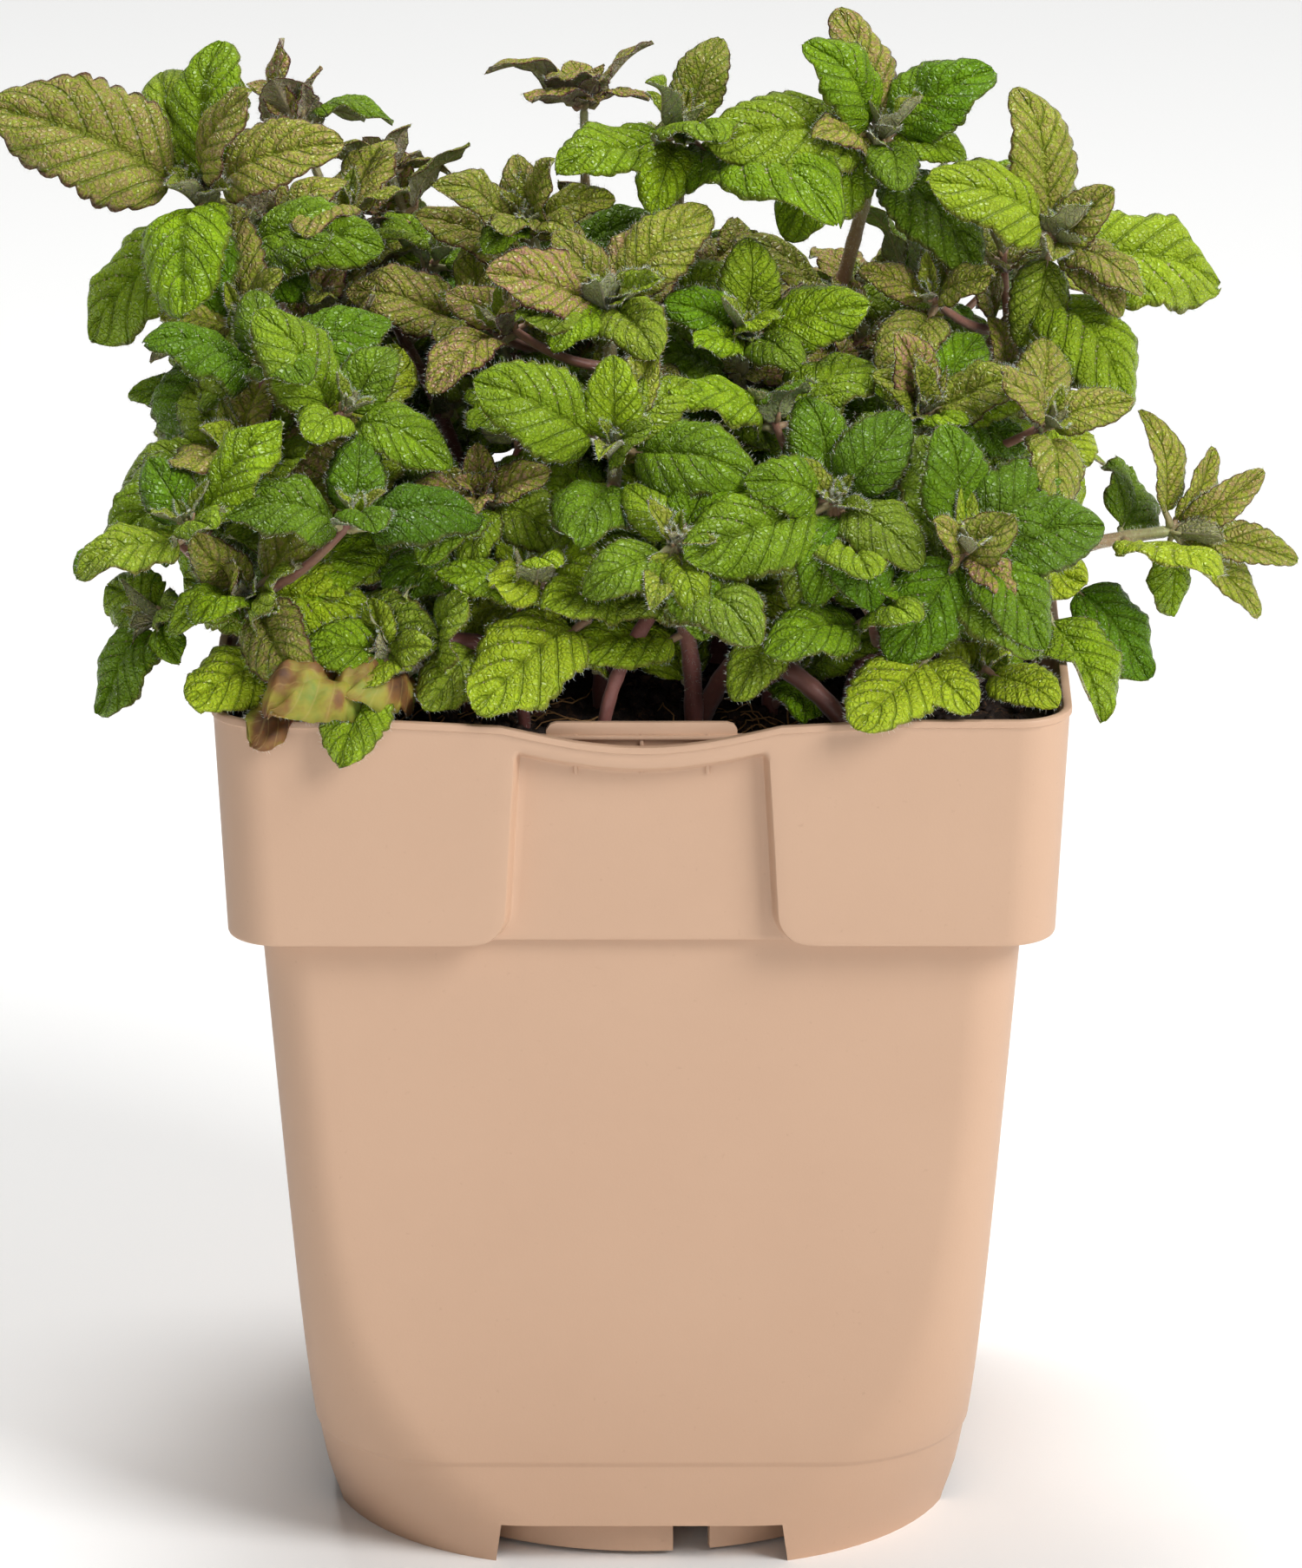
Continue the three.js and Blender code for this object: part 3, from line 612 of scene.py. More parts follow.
# %% Widths and levels
def corner_radius(z):
    """Corners of 8 mm that grow rounder and rounder towards the foot."""
    return 8 + 32 * np.exp(-((max(z, 0.0) / 22) ** 1.3))


def collar_half(z):
    """Half the width over two corner panels."""
    return RIM_HALF - COLLAR_TAPER * (RIM_LEVEL - z) / (RIM_LEVEL - COLLAR_LOW)


def body_half(z):
    """Half the width of the body, which tapers faster below the seam."""
    if z >= SEAM_LEVEL:
        return SEAM_HALF + (BODY_TOP_HALF - SEAM_HALF) * (z - SEAM_LEVEL) / (COLLAR_LOW - SEAM_LEVEL)
    return FOOT_HALF + 1.4 * z / SEAM_LEVEL


def panel_edge(z):
    """Half the recess's width between two corner panels, with their round lower corners."""
    up = z - COLLAR_LOW
    turn = max(0.0, PANEL_ROUND - up) / PANEL_ROUND
    straight = RECESS_HALF - RECESS_TAPER * up / (RIM_LEVEL - COLLAR_LOW)
    return straight + PANEL_ROUND * (1 - math.sqrt(1 - turn * turn))


def dip(u):
    """How far the rim dips in the middle of each side."""
    return DIP_DEPTH * np.cos(np.pi / 2 * np.minimum(np.abs(u) / DIP_HALF, 1)) ** 1.2


def level_at(z):
    """The same level all along a side."""
    return lambda u: np.full(np.shape(u), float(z))


def below_rim(drop):
    """A level that follows the rim and its dip."""
    return lambda u: RIM_LEVEL - dip(u) - drop


def between(z, drop, share):
    """A level part of the way from a flat height up to a line that follows the rim."""
    return lambda u: z + (RIM_LEVEL - dip(u) - drop - z) * share


half_widths = [body_half(0), body_half(SEAM_LEVEL), collar_half(COLLAR_LOW), collar_half(RIM_LEVEL)]
print("half widths from the foot to the rim:", np.round(half_widths, 2).tolist())

# %% [markdown]
# ### Side of a corner panel
# The step from a panel down into the recess is an S curve, as a moulding tool leaves it. Nine
# points draw it, close together where it bends. They are measured outwards from the edge of the
# recess.

# %% Profile of a corner panel's side
# Distance from the panel's edge, and the share of the recess's depth there
PANEL_PROFILE = np.array([
    (3.2, 0), (1.5, 0), (1.1, 0.02), (0.85, 0.12), (0.6, 0.36), (0.35, 0.7), (0.12, 0.93),
    (-0.2, 1), (-1.2, 1),
])  # fmt: skip
CORNER_STEPS = 18
print("panel profile:", len(PANEL_PROFILE), "points, corner:", CORNER_STEPS, "points")

# %% [markdown]
# ### One section
# Each section runs along a flat, steps in to the recess and out again, and turns the corner, four
# times. All sections have the same number of points, so that the faces between two of them are
# plain quads. Body sections have no recess, and their points stand exactly below the collar's at
# the ledge, so that it has no folds.

# %% Sections of the body and the collar
def section(half, radius, edge, depth, height):
    """One ring round the pot. depth is how far the recess stands back, height(u) the level at u."""
    flat = half - radius
    inner = edge - 1.2
    outward = [flat, 0.5 * (flat + edge + 3.2)]
    stations = [*outward, *(edge + PANEL_PROFILE[:, 0]), *(inner * np.array([0.8, 0.6, 0.4, 0.2]))]
    depths = [0, 0, *PANEL_PROFILE[:, 1], 1, 1, 1, 1]
    u = np.array([*(-np.array(stations)), 0, *stations[::-1]])
    back = np.array([*depths, 1, *depths[::-1]]) * depth
    levels = np.broadcast_to(height(u), u.shape)
    angle = np.arange(1, CORNER_STEPS + 1) / (CORNER_STEPS + 1) * np.pi / 2
    along = np.concatenate([u, flat + radius * np.sin(angle)])
    out = np.concatenate([half - back, flat + radius * np.cos(angle)])
    levels = np.concatenate([levels, np.full(CORNER_STEPS, height(np.array([flat]))[0])])
    sides = []
    for turn in np.arange(4) * np.pi / 2:
        c, s = math.cos(turn), math.sin(turn)
        sides.append(np.stack([along * c + out * s, along * s - out * c, levels], -1))
    return np.concatenate(sides)


def body_section(z, inset=0.0, level=None):
    """A body ring. Close under the collar its points stand below the collar's own, so that the ledge
    has no folds, and further down they are spread evenly over the flat, which narrows to the foot."""
    half, radius = body_half(z) - inset, corner_radius(z) - inset
    flat = half - radius
    height = level_at(z if level is None else level)
    ring = section(half, radius, panel_edge(COLLAR_LOW), 0.0, height)
    near_ledge = 8
    if z > COLLAR_LOW - near_ledge:
        return ring
    per_side = len(ring) // 4
    straight = per_side - CORNER_STEPS
    shares = np.linspace(-1, 1, straight) * flat
    for side, turn in enumerate(np.arange(4) * np.pi / 2):
        c, s = math.cos(turn), math.sin(turn)
        rows = slice(side * per_side, side * per_side + straight)
        ring[rows, 0] = shares * c + half * s
        ring[rows, 1] = shares * s - half * c
    return ring


def collar_section(z, inset, depth, height):
    """A collar ring, stepped back by depth between its corner panels."""
    half, radius = collar_half(z) - inset, corner_radius(z) - inset
    return section(half, radius, panel_edge(z), depth, height)


print("points in a section:", len(body_section(60)))

# %% [markdown]
# ### From the foot over the lip to the floor
# The wall is one unbroken row of sections: up the outside, over the round lip and down the inside
# to the floor. They stand close together where the shape turns, at the seam, the ledge, the upper
# edge of the recess and the lip, and far apart where it runs straight. A solidify modifier could
# make the wall too, but this way the lip and the floor get exactly the shape they have in the
# frame.

# %% Outside, lip and inside of the pot
MID_COLLAR, BAND_RISE = 124, 15.9  # from here up the rows bend to follow the rim


def pot_rings():
    """All sections in order. Pairs are (drop below the rim, share of the recess or inset)."""
    outside = [body_section(z) for z in np.linspace(0.0, SEAM_LEVEL - 0.4, 14)]
    outside.append(body_section(SEAM_LEVEL - 0.05))
    outside.append(body_section(SEAM_LEVEL + 0.05, 0.0, SEAM_LEVEL + 0.35))
    outside += [body_section(z) for z in np.linspace(SEAM_LEVEL + 0.9, 60, 26)]
    outside += [body_section(z) for z in np.linspace(64, COLLAR_LOW - 0.25, 12)]
    outside.append(body_section(COLLAR_LOW, -0.25, COLLAR_LOW - 0.05))
    low = [(COLLAR_LOW, 0.5, COLLAR_LOW), (COLLAR_LOW + 0.05, 0.12, COLLAR_LOW + 0.12)]
    low += [(z, 0.0, z) for z in COLLAR_LOW + np.array([0.5, 1.0, 1.8, 2.8, 4.0, 5.2, 8, 12, 16])]
    outside += [
        collar_section(z, inset, RECESS_DEPTH, level_at(level)) for z, inset, level in low
    ]
    for share in (0.35, 0.7, 1.0):
        bend = between(MID_COLLAR, 5.4, share)
        outside.append(collar_section(MID_COLLAR + BAND_RISE * share, 0, RECESS_DEPTH, bend))
    band = [(5.2, 1.0), (4.9, 0.93), (4.5, 0.7), (4.1, 0.36), (3.7, 0.1)]
    for drop, share in (*band, (3.3, 0), (2.2, 0), (1.3, 0)):
        height = below_rim(drop)
        outside.append(collar_section(RIM_LEVEL - drop, 0, RECESS_DEPTH * share, height))
    lip = [(1.15, -0.05), (1.0, -0.28), (0.35, -0.3), (0.08, -0.15), (0, 0.15), (0, 0.8), (0.15, 1.0)]
    lip += [(1.5, 1.0), (3.3, 1.0)]
    outside += [collar_section(RIM_LEVEL, inset, 0, below_rim(drop)) for drop, inset in lip]
    inside = []
    for drop, share in ((3.7, 0.1), (4.1, 0.36), (4.5, 0.7), (4.9, 1.0)):
        height = below_rim(drop)
        inside.append(collar_section(RIM_LEVEL - drop, WALL, RECESS_DEPTH * share, height))
    inside += [collar_section(z, WALL, RECESS_DEPTH, level_at(z)) for z in (132, 126, 118, 111)]
    over_ledge = COLLAR_LOW + WALL
    inside.append(collar_section(COLLAR_LOW, WALL + 0.3, RECESS_DEPTH, level_at(over_ledge)))
    inside.append(body_section(COLLAR_LOW, WALL, over_ledge))
    inside += [body_section(z, WALL) for z in np.linspace(100, 20, 12)]
    inside += [body_section(z, WALL) for z in (16, 12.5, FLOOR_TOP)]
    return outside + inside


wall_rings = pot_rings()
print("sections of the wall:", len(wall_rings))

# %% [markdown]
# ### Loft
# Blender can bridge edge loops by hand. In a script it is as quick to write the faces down: between
# two rings each point makes a quad with its neighbour and the two above, and a fan closes each end.

# %% Loft of the pot
def loft(rings):
    """Quads between rings of equal length, and a fan over each end."""
    count = len(rings[0])
    points = np.concatenate([*rings, [rings[0].mean(0)], [rings[-1].mean(0)]])
    steps = np.arange(len(rings) - 1)[:, None] * count
    here = np.arange(count)[None, :]
    after = (here + 1) % count
    walls = np.stack([here + steps, after + steps, after + steps + count, here + steps + count], -1)
    end = (len(rings) - 1) * count
    low = np.stack([after[0], here[0], np.full(count, len(points) - 2)], -1)
    high = np.stack([here[0] + end, after[0] + end, np.full(count, len(points) - 1)], -1)
    return points, [(walls.reshape(-1, 4), 0), (low, 0), (high, 0)]


underneath = [body_section(z, WALL) for z in (FLOOR_LOW, 4.0, 0.0)]
pot_pile = Pile()
pot_pile.add(*loft([*underneath, *wall_rings]))
pot = pot_pile.make("square_pot", [POT_PLASTIC], ["pot"], "pot_plastic")
print("pot loft:", len(pot.data.polygons), "faces")

# %% [markdown]
# ### Notches and drain holes
# The foot has a low notch in each side, and the raised floor has nine drain holes. The loft could
# be built around them, but cutting them with a boolean keeps it simple. The cutters are prisms: a
# flat outline and its copy further on, joined by walls.

# %% Prisms
def prism(outline, low, high, to_world):
    """A closed prism over a flat outline, with to_world(across, up, deep) giving each point."""
    count = len(outline)
    points = [to_world(a, b, depth) for depth in (low, high) for a, b in outline]
    walls = [(i, (i + 1) % count, (i + 1) % count + count, i + count) for i in range(count)]
    caps = [tuple(range(count))[::-1], tuple(range(count, 2 * count))]
    return points, walls, caps


def solid_from(name, shapes):
    """An object from (points, walls, caps) shapes, for cutting or joining."""
    points, faces = [], []
    for more, walls, caps in shapes:
        faces += [tuple(corner + len(points) for corner in face) for face in [*walls, *caps]]
        points += more
    mesh = bpy.data.meshes.new(name)
    mesh.from_pydata([Vector(p) * MM for p in points], [], faces)
    mesh.update()
    made = bpy.data.objects.new(name, mesh)
    bpy.context.scene.collection.objects.link(made)
    return made


def on_circle(radius, turns):
    """Points of a circle at some turns."""
    return [(radius * math.cos(turn), radius * math.sin(turn)) for turn in turns]


print("points on a drain hole:", len(on_circle(3.5, np.arange(24) * math.pi / 12)))

# %% [markdown]
# ### Cutters for the foot
# All four notches are one shape, so one is drawn at the front and turned about the pot's axis. One
# drain hole is in the middle of the floor and eight stand on a circle round it.

# %% Cutters for the foot
NOTCH_HALF, NOTCH_HEIGHT, NOTCH_DEPTH = 22, 7.1, 12.5
NOTCH_FRONT = -53  # a notch is cut from here, a little in front of the foot
DRAIN_RADIUS, DRAIN_CIRCLE = 3.5, 24.8  # of a drain hole, and of the circle of eight


def front_notch(a, b, d):
    """Places the notch's outline at the front and its depth towards the back."""
    return np.array((a, NOTCH_FRONT + d, b))


def turned(turn, place):
    """The same placing, turned about the pot's axis."""
    c, s = math.cos(turn), math.sin(turn)
    about_axis = np.array([(c, -s, 0), (s, c, 0), (0, 0, 1)])
    return lambda a, b, d: about_axis @ place(a, b, d)


notch = [(-NOTCH_HALF - 1, -1), (NOTCH_HALF + 1, -1)]
notch += [(NOTCH_HALF, NOTCH_HEIGHT), (-NOTCH_HALF, NOTCH_HEIGHT)]
cutters = [
    prism(notch, NOTCH_DEPTH, 0, turned(turn, front_notch)) for turn in np.arange(4) * math.pi / 2
]
circle = on_circle(DRAIN_RADIUS, np.arange(24) * math.pi / 12)
hole_places = [(0, 0), *on_circle(DRAIN_CIRCLE, [(i + 0.5) * math.pi / 4 for i in range(8)])]
for x, y in hole_places:
    drain = prism(circle, FLOOR_LOW - 1, FLOOR_TOP + 1.5, lambda a, b, d, x=x, y=y: (x + a, y + b, d))
    cutters.append(drain)
cutter = solid_from("foot_cutter", cutters)
print("cutters:", len(cutters))

# %% [markdown]
# ### Cut the foot
# The exact boolean solver is slower than the fast one, but it leaves no torn faces. Its result is
# written into the pot's own mesh, and then the cutters can go.

# %% Cut the foot
def apply_modifiers(piece):
    """The piece's modifiers worked into its own mesh."""
    evaluated = piece.evaluated_get(bpy.context.evaluated_depsgraph_get())
    mesh = bpy.data.meshes.new_from_object(evaluated)
    piece.modifiers.clear()
    piece.data = mesh


cut = pot.modifiers.new("foot openings", "BOOLEAN")
cut.operation, cut.object, cut.solver = "DIFFERENCE", cutter, "EXACT"
apply_modifiers(pot)
bpy.data.objects.remove(cutter)
print("pot after cutting:", len(pot.data.polygons), "faces")

# %% [markdown]
# ### Inner rib and label tab
# Under the floor a thin round rib stiffens the foot. Four slots in it, each off its side's middle,
# let water out. In the front dip stands a label tab, a small plate with three ridges and a narrow
# shelf. All of them are plain prisms with a fine bevel, which catches the light as a moulded edge
# does.

# %% Rib, tab and shelf
RIB_INNER, RIB_OUTER, RIB_LOW = 44.25, 45.65, 0.8
SLOT_OFFSET, SLOT_HALF = 7.8, 2.9
TAB_HALF, TAB_LOW, TAB_TOP = 14.5, RIM_LEVEL - 10.1, RIM_LEVEL - 1.4
SHELF_HALF, SHELF_LOW, SHELF_TOP = 17.5, RIM_LEVEL - 3.9, RIM_LEVEL - 3.3


def rib_arc(start, stop, steps=14):
    """A piece of the round rib under the floor, between two angles."""
    spread = np.linspace(start, stop, steps)
    outline = on_circle(RIB_OUTER, spread) + on_circle(RIB_INNER, spread)[::-1]
    return prism(outline, RIB_LOW, FLOOR_LOW + 0.3, lambda a, b, d: (a, b, d))


def upright(outline, back, front):
    """A prism that stands across the front of the pot."""
    return prism(outline, back, front, lambda a, b, d: (a, d, b))


def oblong(left, right, low, high):
    return [(left, low), (right, low), (right, high), (left, high)]


slot_angle = math.asin(SLOT_OFFSET / RIB_OUTER)
slot_half = SLOT_HALF / RIB_OUTER
arcs = []
for quarter in range(4):
    base = quarter * math.pi / 2
    gap = base + slot_angle if quarter % 2 else base - slot_angle
    arcs.append(rib_arc(base - math.pi / 4, gap - slot_half))
    arcs.append(rib_arc(gap + slot_half, base + math.pi / 4))
corner = [(TAB_HALF, TAB_TOP - 1.2), (TAB_HALF - 0.6, TAB_TOP - 0.3), (TAB_HALF - 1.6, TAB_TOP)]
tab_outline = [(-TAB_HALF, TAB_LOW), (TAB_HALF, TAB_LOW), *corner]
tab_outline += [(-across, level) for across, level in corner[::-1]]
tab = [upright(tab_outline, -60.6, -61.6)]
for across in (-10, 0, 10):
    ridge = oblong(across - 0.3, across + 0.3, TAB_LOW + 0.6, TAB_TOP - 1.8)
    tab.append(upright(ridge, -61.5, -62.2))
tab.append(upright(oblong(-SHELF_HALF, SHELF_HALF, SHELF_LOW, SHELF_TOP), -60.9, -62.5))
foot_rib = solid_from("foot_rib", arcs)
label_tab = solid_from("label_tab", tab)
for piece in (foot_rib, label_tab):
    bevel = piece.modifiers.new("soft edge", "BEVEL")
    bevel.width, bevel.segments, bevel.limit_method = 0.18 * MM, 2, "ANGLE"
    apply_modifiers(piece)
    piece.data.materials.append(POT_PLASTIC)
    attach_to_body(piece, "root")
print("rib:", len(arcs), "arcs; tab:", len(tab), "prisms")

# %% [markdown]
# ### Smooth faces, sharp edges
# Smooth shading alone would smear the light over every edge. Edges that turn by more than a set
# angle are marked sharp, so the flats stay flat and only the rounds are shaded round.

# %% Sharp edges of the moulding
def sharpen(piece, degrees):
    """Smooth shading, with edges sharper than an angle kept as edges."""
    mesh = piece.data
    mesh.polygons.foreach_set("use_smooth", np.ones(len(mesh.polygons), bool))
    mesh.set_sharp_from_angle(angle=math.radians(degrees))


SHARP_ANGLE = 38
for piece in (pot, foot_rib, label_tab):
    sharpen(piece, SHARP_ANGLE)
print("sharp edges from", SHARP_ANGLE, "degrees")

# %% [markdown]
# ## The soil
# The soil fills the pot to 8 mm below the rim. Its body follows the inside of the pot, and its top
# is a field of points lifted by noise at three scales: broad mounds, 6 mm lumps and 1.5 mm crumbs.

# %% Body of the soil
SOIL_LEVEL = RIM_LEVEL - 8.0
SOIL_INSET, COLLAR_INSET = 1.3, 1.4  # from the outside of the pot to the soil, so it clears the wall


def rough(x, y):
    """Height of the soil above its level: mounds, lumps and crumbs."""
    mounds = 1.1 * noise.noise(Vector((x / 28, y / 28, 0.3)))
    lumps = 1.5 * noise.noise(Vector((x / 6, y / 6, 4.1)))
    crumbs = 0.9 * noise.noise(Vector((x / 1.7, y / 1.7, 9.2)))
    return mounds + lumps + crumbs - 0.6


soil_rings = [body_section(z, SOIL_INSET) for z in (FLOOR_TOP + 0.3, 14, 20, 40, 70, 98)]
soil_rings += [body_section(COLLAR_LOW, SOIL_INSET, COLLAR_LOW + SOIL_INSET)]
for z in (COLLAR_LOW + 1.6, 119, 129, 134.8):
    soil_rings.append(collar_section(z, COLLAR_INSET, RECESS_DEPTH, level_at(z)))
soil_edge = collar_section(136.3, COLLAR_INSET, RECESS_DEPTH, level_at(136.5))
for share in np.linspace(0.985, 0.03, 70):
    ring = soil_edge.copy()
    ring[:, :2] *= share
    ring[:, 2] = [SOIL_LEVEL + rough(x, y) for x, y, _ in ring]
    soil_rings.append(ring)
soil_pile = Pile()
soil_pile.add(*loft(soil_rings))
soil = soil_pile.make("potting_soil", [PEAT], ["soil"], "peat_soil")
print("soil:", len(soil.data.polygons), "faces, top at", SOIL_LEVEL, "mm")

# %% [markdown]
# ### Crumbs, chips and grains
# What makes soil read as soil is its loose top: crumbs of peat, chips of bark, a few white grains
# of perlite and coir strands. A crumb, a chip or a grain is a small lumpy form, squashed and turned
# at random from one seed.

# %% Loose bits
def lump(centre, size, flat, draws):
    """A lumpy closed bit: rings of an uneven ball, squashed and turned."""
    turn = draws.uniform(0, 2 * np.pi)
    lean = draws.uniform(-0.6, 0.6)
    rings = []
    for up, out in ((0.75, 0.55), (0.0, 1.0), (-0.75, 0.6)):
        angle = np.arange(6) * np.pi / 3 + turn
        reach = out * draws.uniform(0.7, 1.2, 6)
        level = np.full(6, up * flat)
        rings.append(np.stack([reach * np.cos(angle), reach * np.sin(angle) * flat, level], -1))
    shape = np.stack(rings[::-1])
    tilted = shape.copy()
    tilted[..., 0] = shape[..., 0] * math.cos(lean) - shape[..., 2] * math.sin(lean)
    tilted[..., 2] = shape[..., 0] * math.sin(lean) + shape[..., 2] * math.cos(lean)
    return loft([np.asarray(centre) + size * ring for ring in tilted])


INSIDE_HALF = 59  # half the width inside the collar, with room for a crumb


def scatter(name, number, sizes, flat, material, draws, front=0.5):
    """Bits over the soil's top, more of them near the front where the soil shows."""
    pile = Pile()
    for _ in range(number):
        x, y = draws.uniform(-INSIDE_HALF, INSIDE_HALF, 2)
        if draws.random() < front:
            y = 1 - INSIDE_HALF + abs(y) * 0.25
        size = draws.uniform(*sizes)
        pile.add(*lump((x, y, SOIL_LEVEL + rough(x, y) + 0.3 * size), size, flat, draws))
    return pile.make(name, [material], material_slot="peat_soil")


loose = [
    scatter("peat_crumbs", 2600, (0.45, 1.5), 0.8, PEAT, rng),
    scatter("bark_chips", 260, (0.6, 1.9), 0.45, WOOD_CHIP, rng),
    scatter("perlite_grains", 45, (0.3, 0.8), 0.8, PERLITE, rng),
]
print("loose bits:", {piece.name: len(piece.data.polygons) for piece in loose}, "faces")

# %% [markdown]
# ### Coir strands
# A coir strand is a stiff, wandering fibre 6 to 20 mm long and about 0.3 mm thick. Each is a path
# that changes its heading a little at every step, laid on the uneven soil and lifted in its middle,
# with a tube along it.

# %% Coir strands
def strand(start, heading, length, wander, draws, steps=10):
    """A path that starts off in a heading and wanders."""
    points = [np.asarray(start, float)]
    heading = unit(heading)
    for _ in range(steps):
        heading = unit(heading + wander * draws.normal(size=3))
        points.append(points[-1] + heading * length / steps)
    return np.array(points)


fibres = Pile()
for _ in range(150):
    x, y = rng.uniform(-57, 57), rng.uniform(-58, 58) if rng.random() < 0.4 else rng.uniform(-59, -40)
    path = strand((x, y, 0), (rng.normal(), rng.normal(), 0), rng.uniform(6, 20), 0.3, rng)
    path[:, :2] = np.clip(path[:, :2], -INSIDE_HALF, INSIDE_HALF)
    lift = 0.4 + 2.2 * rng.random() * np.sin(np.linspace(0, np.pi, len(path)))
    path[:, 2] = [SOIL_LEVEL + rough(px, py) for px, py in path[:, :2]] + lift
    points, walls, ends = tube(path, np.linspace(0.16, 0.08, len(path)), 5)
    fibres.add(points, [(walls, 0), (ends, 0)])
fibres.make("coir_fibres", [COIR], material_slot="peat_soil")
print("coir:", len(fibres.points), "strands")

# %% [markdown]
# ## Reading the plant from the frame
# Each CAD stem is a hexagonal bar swept along a curve, and each CAD leaf a plain folded blade.
# Walking a stem's mesh ring by ring from its lowest end gives its centreline back, and a leaf's
# nearest and farthest points from the growing tip give its base and its point. The fine stems and
# leaves then lie exactly where the solids of the frame do.

# %% Centrelines and leaf ends
def joined(node):
    """A node's points in millimetres with doubles joined, and its edges."""
    data = node.data
    flat = np.empty(len(data.vertices) * 3)
    data.vertices.foreach_get("co", flat)
    points = flat.reshape(-1, 3) / MM
    whole = np.round(points * 50).astype(int)
    _, first, same = np.unique(whole, axis=0, return_index=True, return_inverse=True)
    pairs = np.empty(len(data.edges) * 2, int)
    data.edges.foreach_get("vertices", pairs)
    return points[first], same.ravel()[pairs.reshape(-1, 2)]


def centreline(node):
    """Ring centres of a swept stem, from its root to its tip."""
    points, edges = joined(node)
    near = [set() for _ in points]
    for a, b in edges:
        near[a].add(b)
        near[b].add(a)
    ring = set(np.argsort(points[:, 2])[:6].tolist())
    seen, centres = set(), []
    while ring:
        centres.append(points[list(ring)].mean(0))
        seen |= ring
        ring = set().union(*(near[i] for i in ring)) - seen
    return np.array(centres)


print("rings of the first stem:", len(centreline(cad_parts["stem_01"])))

# %% [markdown]
# ### A smooth path
# The CAD stems bend in straight steps. A Catmull-Rom curve passes through all their ring centres
# and rounds the bends between them, and even steps along it keep the mesh of the tube even.

# %% A smooth path
def smooth_path(centres, spacing=1.1):
    """A Catmull-Rom curve through the centres, with even steps."""
    padded = np.vstack([2 * centres[0] - centres[1], centres, 2 * centres[-1] - centres[-2]])
    share = np.linspace(0, 1, 12, endpoint=False)[:, None]
    curve = []
    for a, b, c, d in zip(padded, padded[1:], padded[2:], padded[3:]):
        square, cube = 2 * a - 5 * b + 4 * c - d, 3 * b - a - 3 * c + d
        curve.append(0.5 * (2 * b + (c - a) * share + square * share**2 + cube * share**3))
    curve = np.vstack([*curve, centres[-1:]])
    travelled = np.concatenate([[0], np.cumsum(np.linalg.norm(np.diff(curve, axis=0), axis=1))])
    even = np.linspace(0, travelled[-1], max(8, int(travelled[-1] / spacing)))
    return np.stack([np.interp(even, travelled, curve[:, k]) for k in range(3)], -1)


print("points of its path:", len(smooth_path(centreline(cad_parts["stem_01"]))))

# %% [markdown]
# ### A stem to measure along
# Leaves are placed by how far below the growing tip they stand, so a stem has to tell its point,
# its heading and its thickness at any distance back from the tip. A small class keeps the path with
# the length travelled along it and looks these up.

# %% Stems
THIN_SHOOTS = {2, 3, 6, 7, 8, 9, 14, 20, 23}
THICK, THIN = 1.5, 1.05  # radius at the foot of a main stem and of a thin one


class Stem:
    """A stem's path from the soil to its growing tip."""

    def __init__(self, number, node):
        self.path = smooth_path(centreline(node))
        self.headings = unit(np.gradient(self.path, axis=0))
        steps = np.linalg.norm(np.diff(self.path, axis=0), axis=1)
        self.along = np.concatenate([[0], np.cumsum(steps)])
        self.length = self.along[-1]
        self.thick = THIN if number in THIN_SHOOTS else THICK

    def at(self, back):
        """The point and heading that far back from the tip."""
        where = np.clip(self.length - back, 0, self.length)
        point = np.array([np.interp(where, self.along, self.path[:, k]) for k in range(3)])
        heading = np.array([np.interp(where, self.along, self.headings[:, k]) for k in range(3)])
        return point, unit(heading)

    def radius(self, back):
        """Thinner towards the tip."""
        share = 1 - np.clip(back / self.length, 0, 1)
        return self.thick * (1.0 - 0.42 * share**1.3)


stems = {number: Stem(number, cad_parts[f"stem_{number:02d}"]) for number in range(1, 25)}
print("stems:", {n: round(float(s.length), 1) for n, s in stems.items()})


def leaf_ends(node, tip):
    """The base and point of a CAD leaf, seen from its stem's tip."""
    points, _ = joined(node)
    away = np.linalg.norm(points - tip, axis=1)
    return points[away.argmin()], points[away.argmax()]

# %% [markdown]
# ## One leaf
# A wild basil leaf is an oval blade, widest below its middle, with rounded teeth, on a short stalk.
# The surface is quilted: it swells between six pairs of side veins, which lean towards the tip, and
# sinks along them and the midrib. Old blades are wide and turn their edges down; young ones are
# narrow and folded up like a boat. All of that is one grid of points worked out with numpy, with a
# second grid a fifth of a millimetre beneath it, closed along the edge, so the leaf is a real thin
# solid.

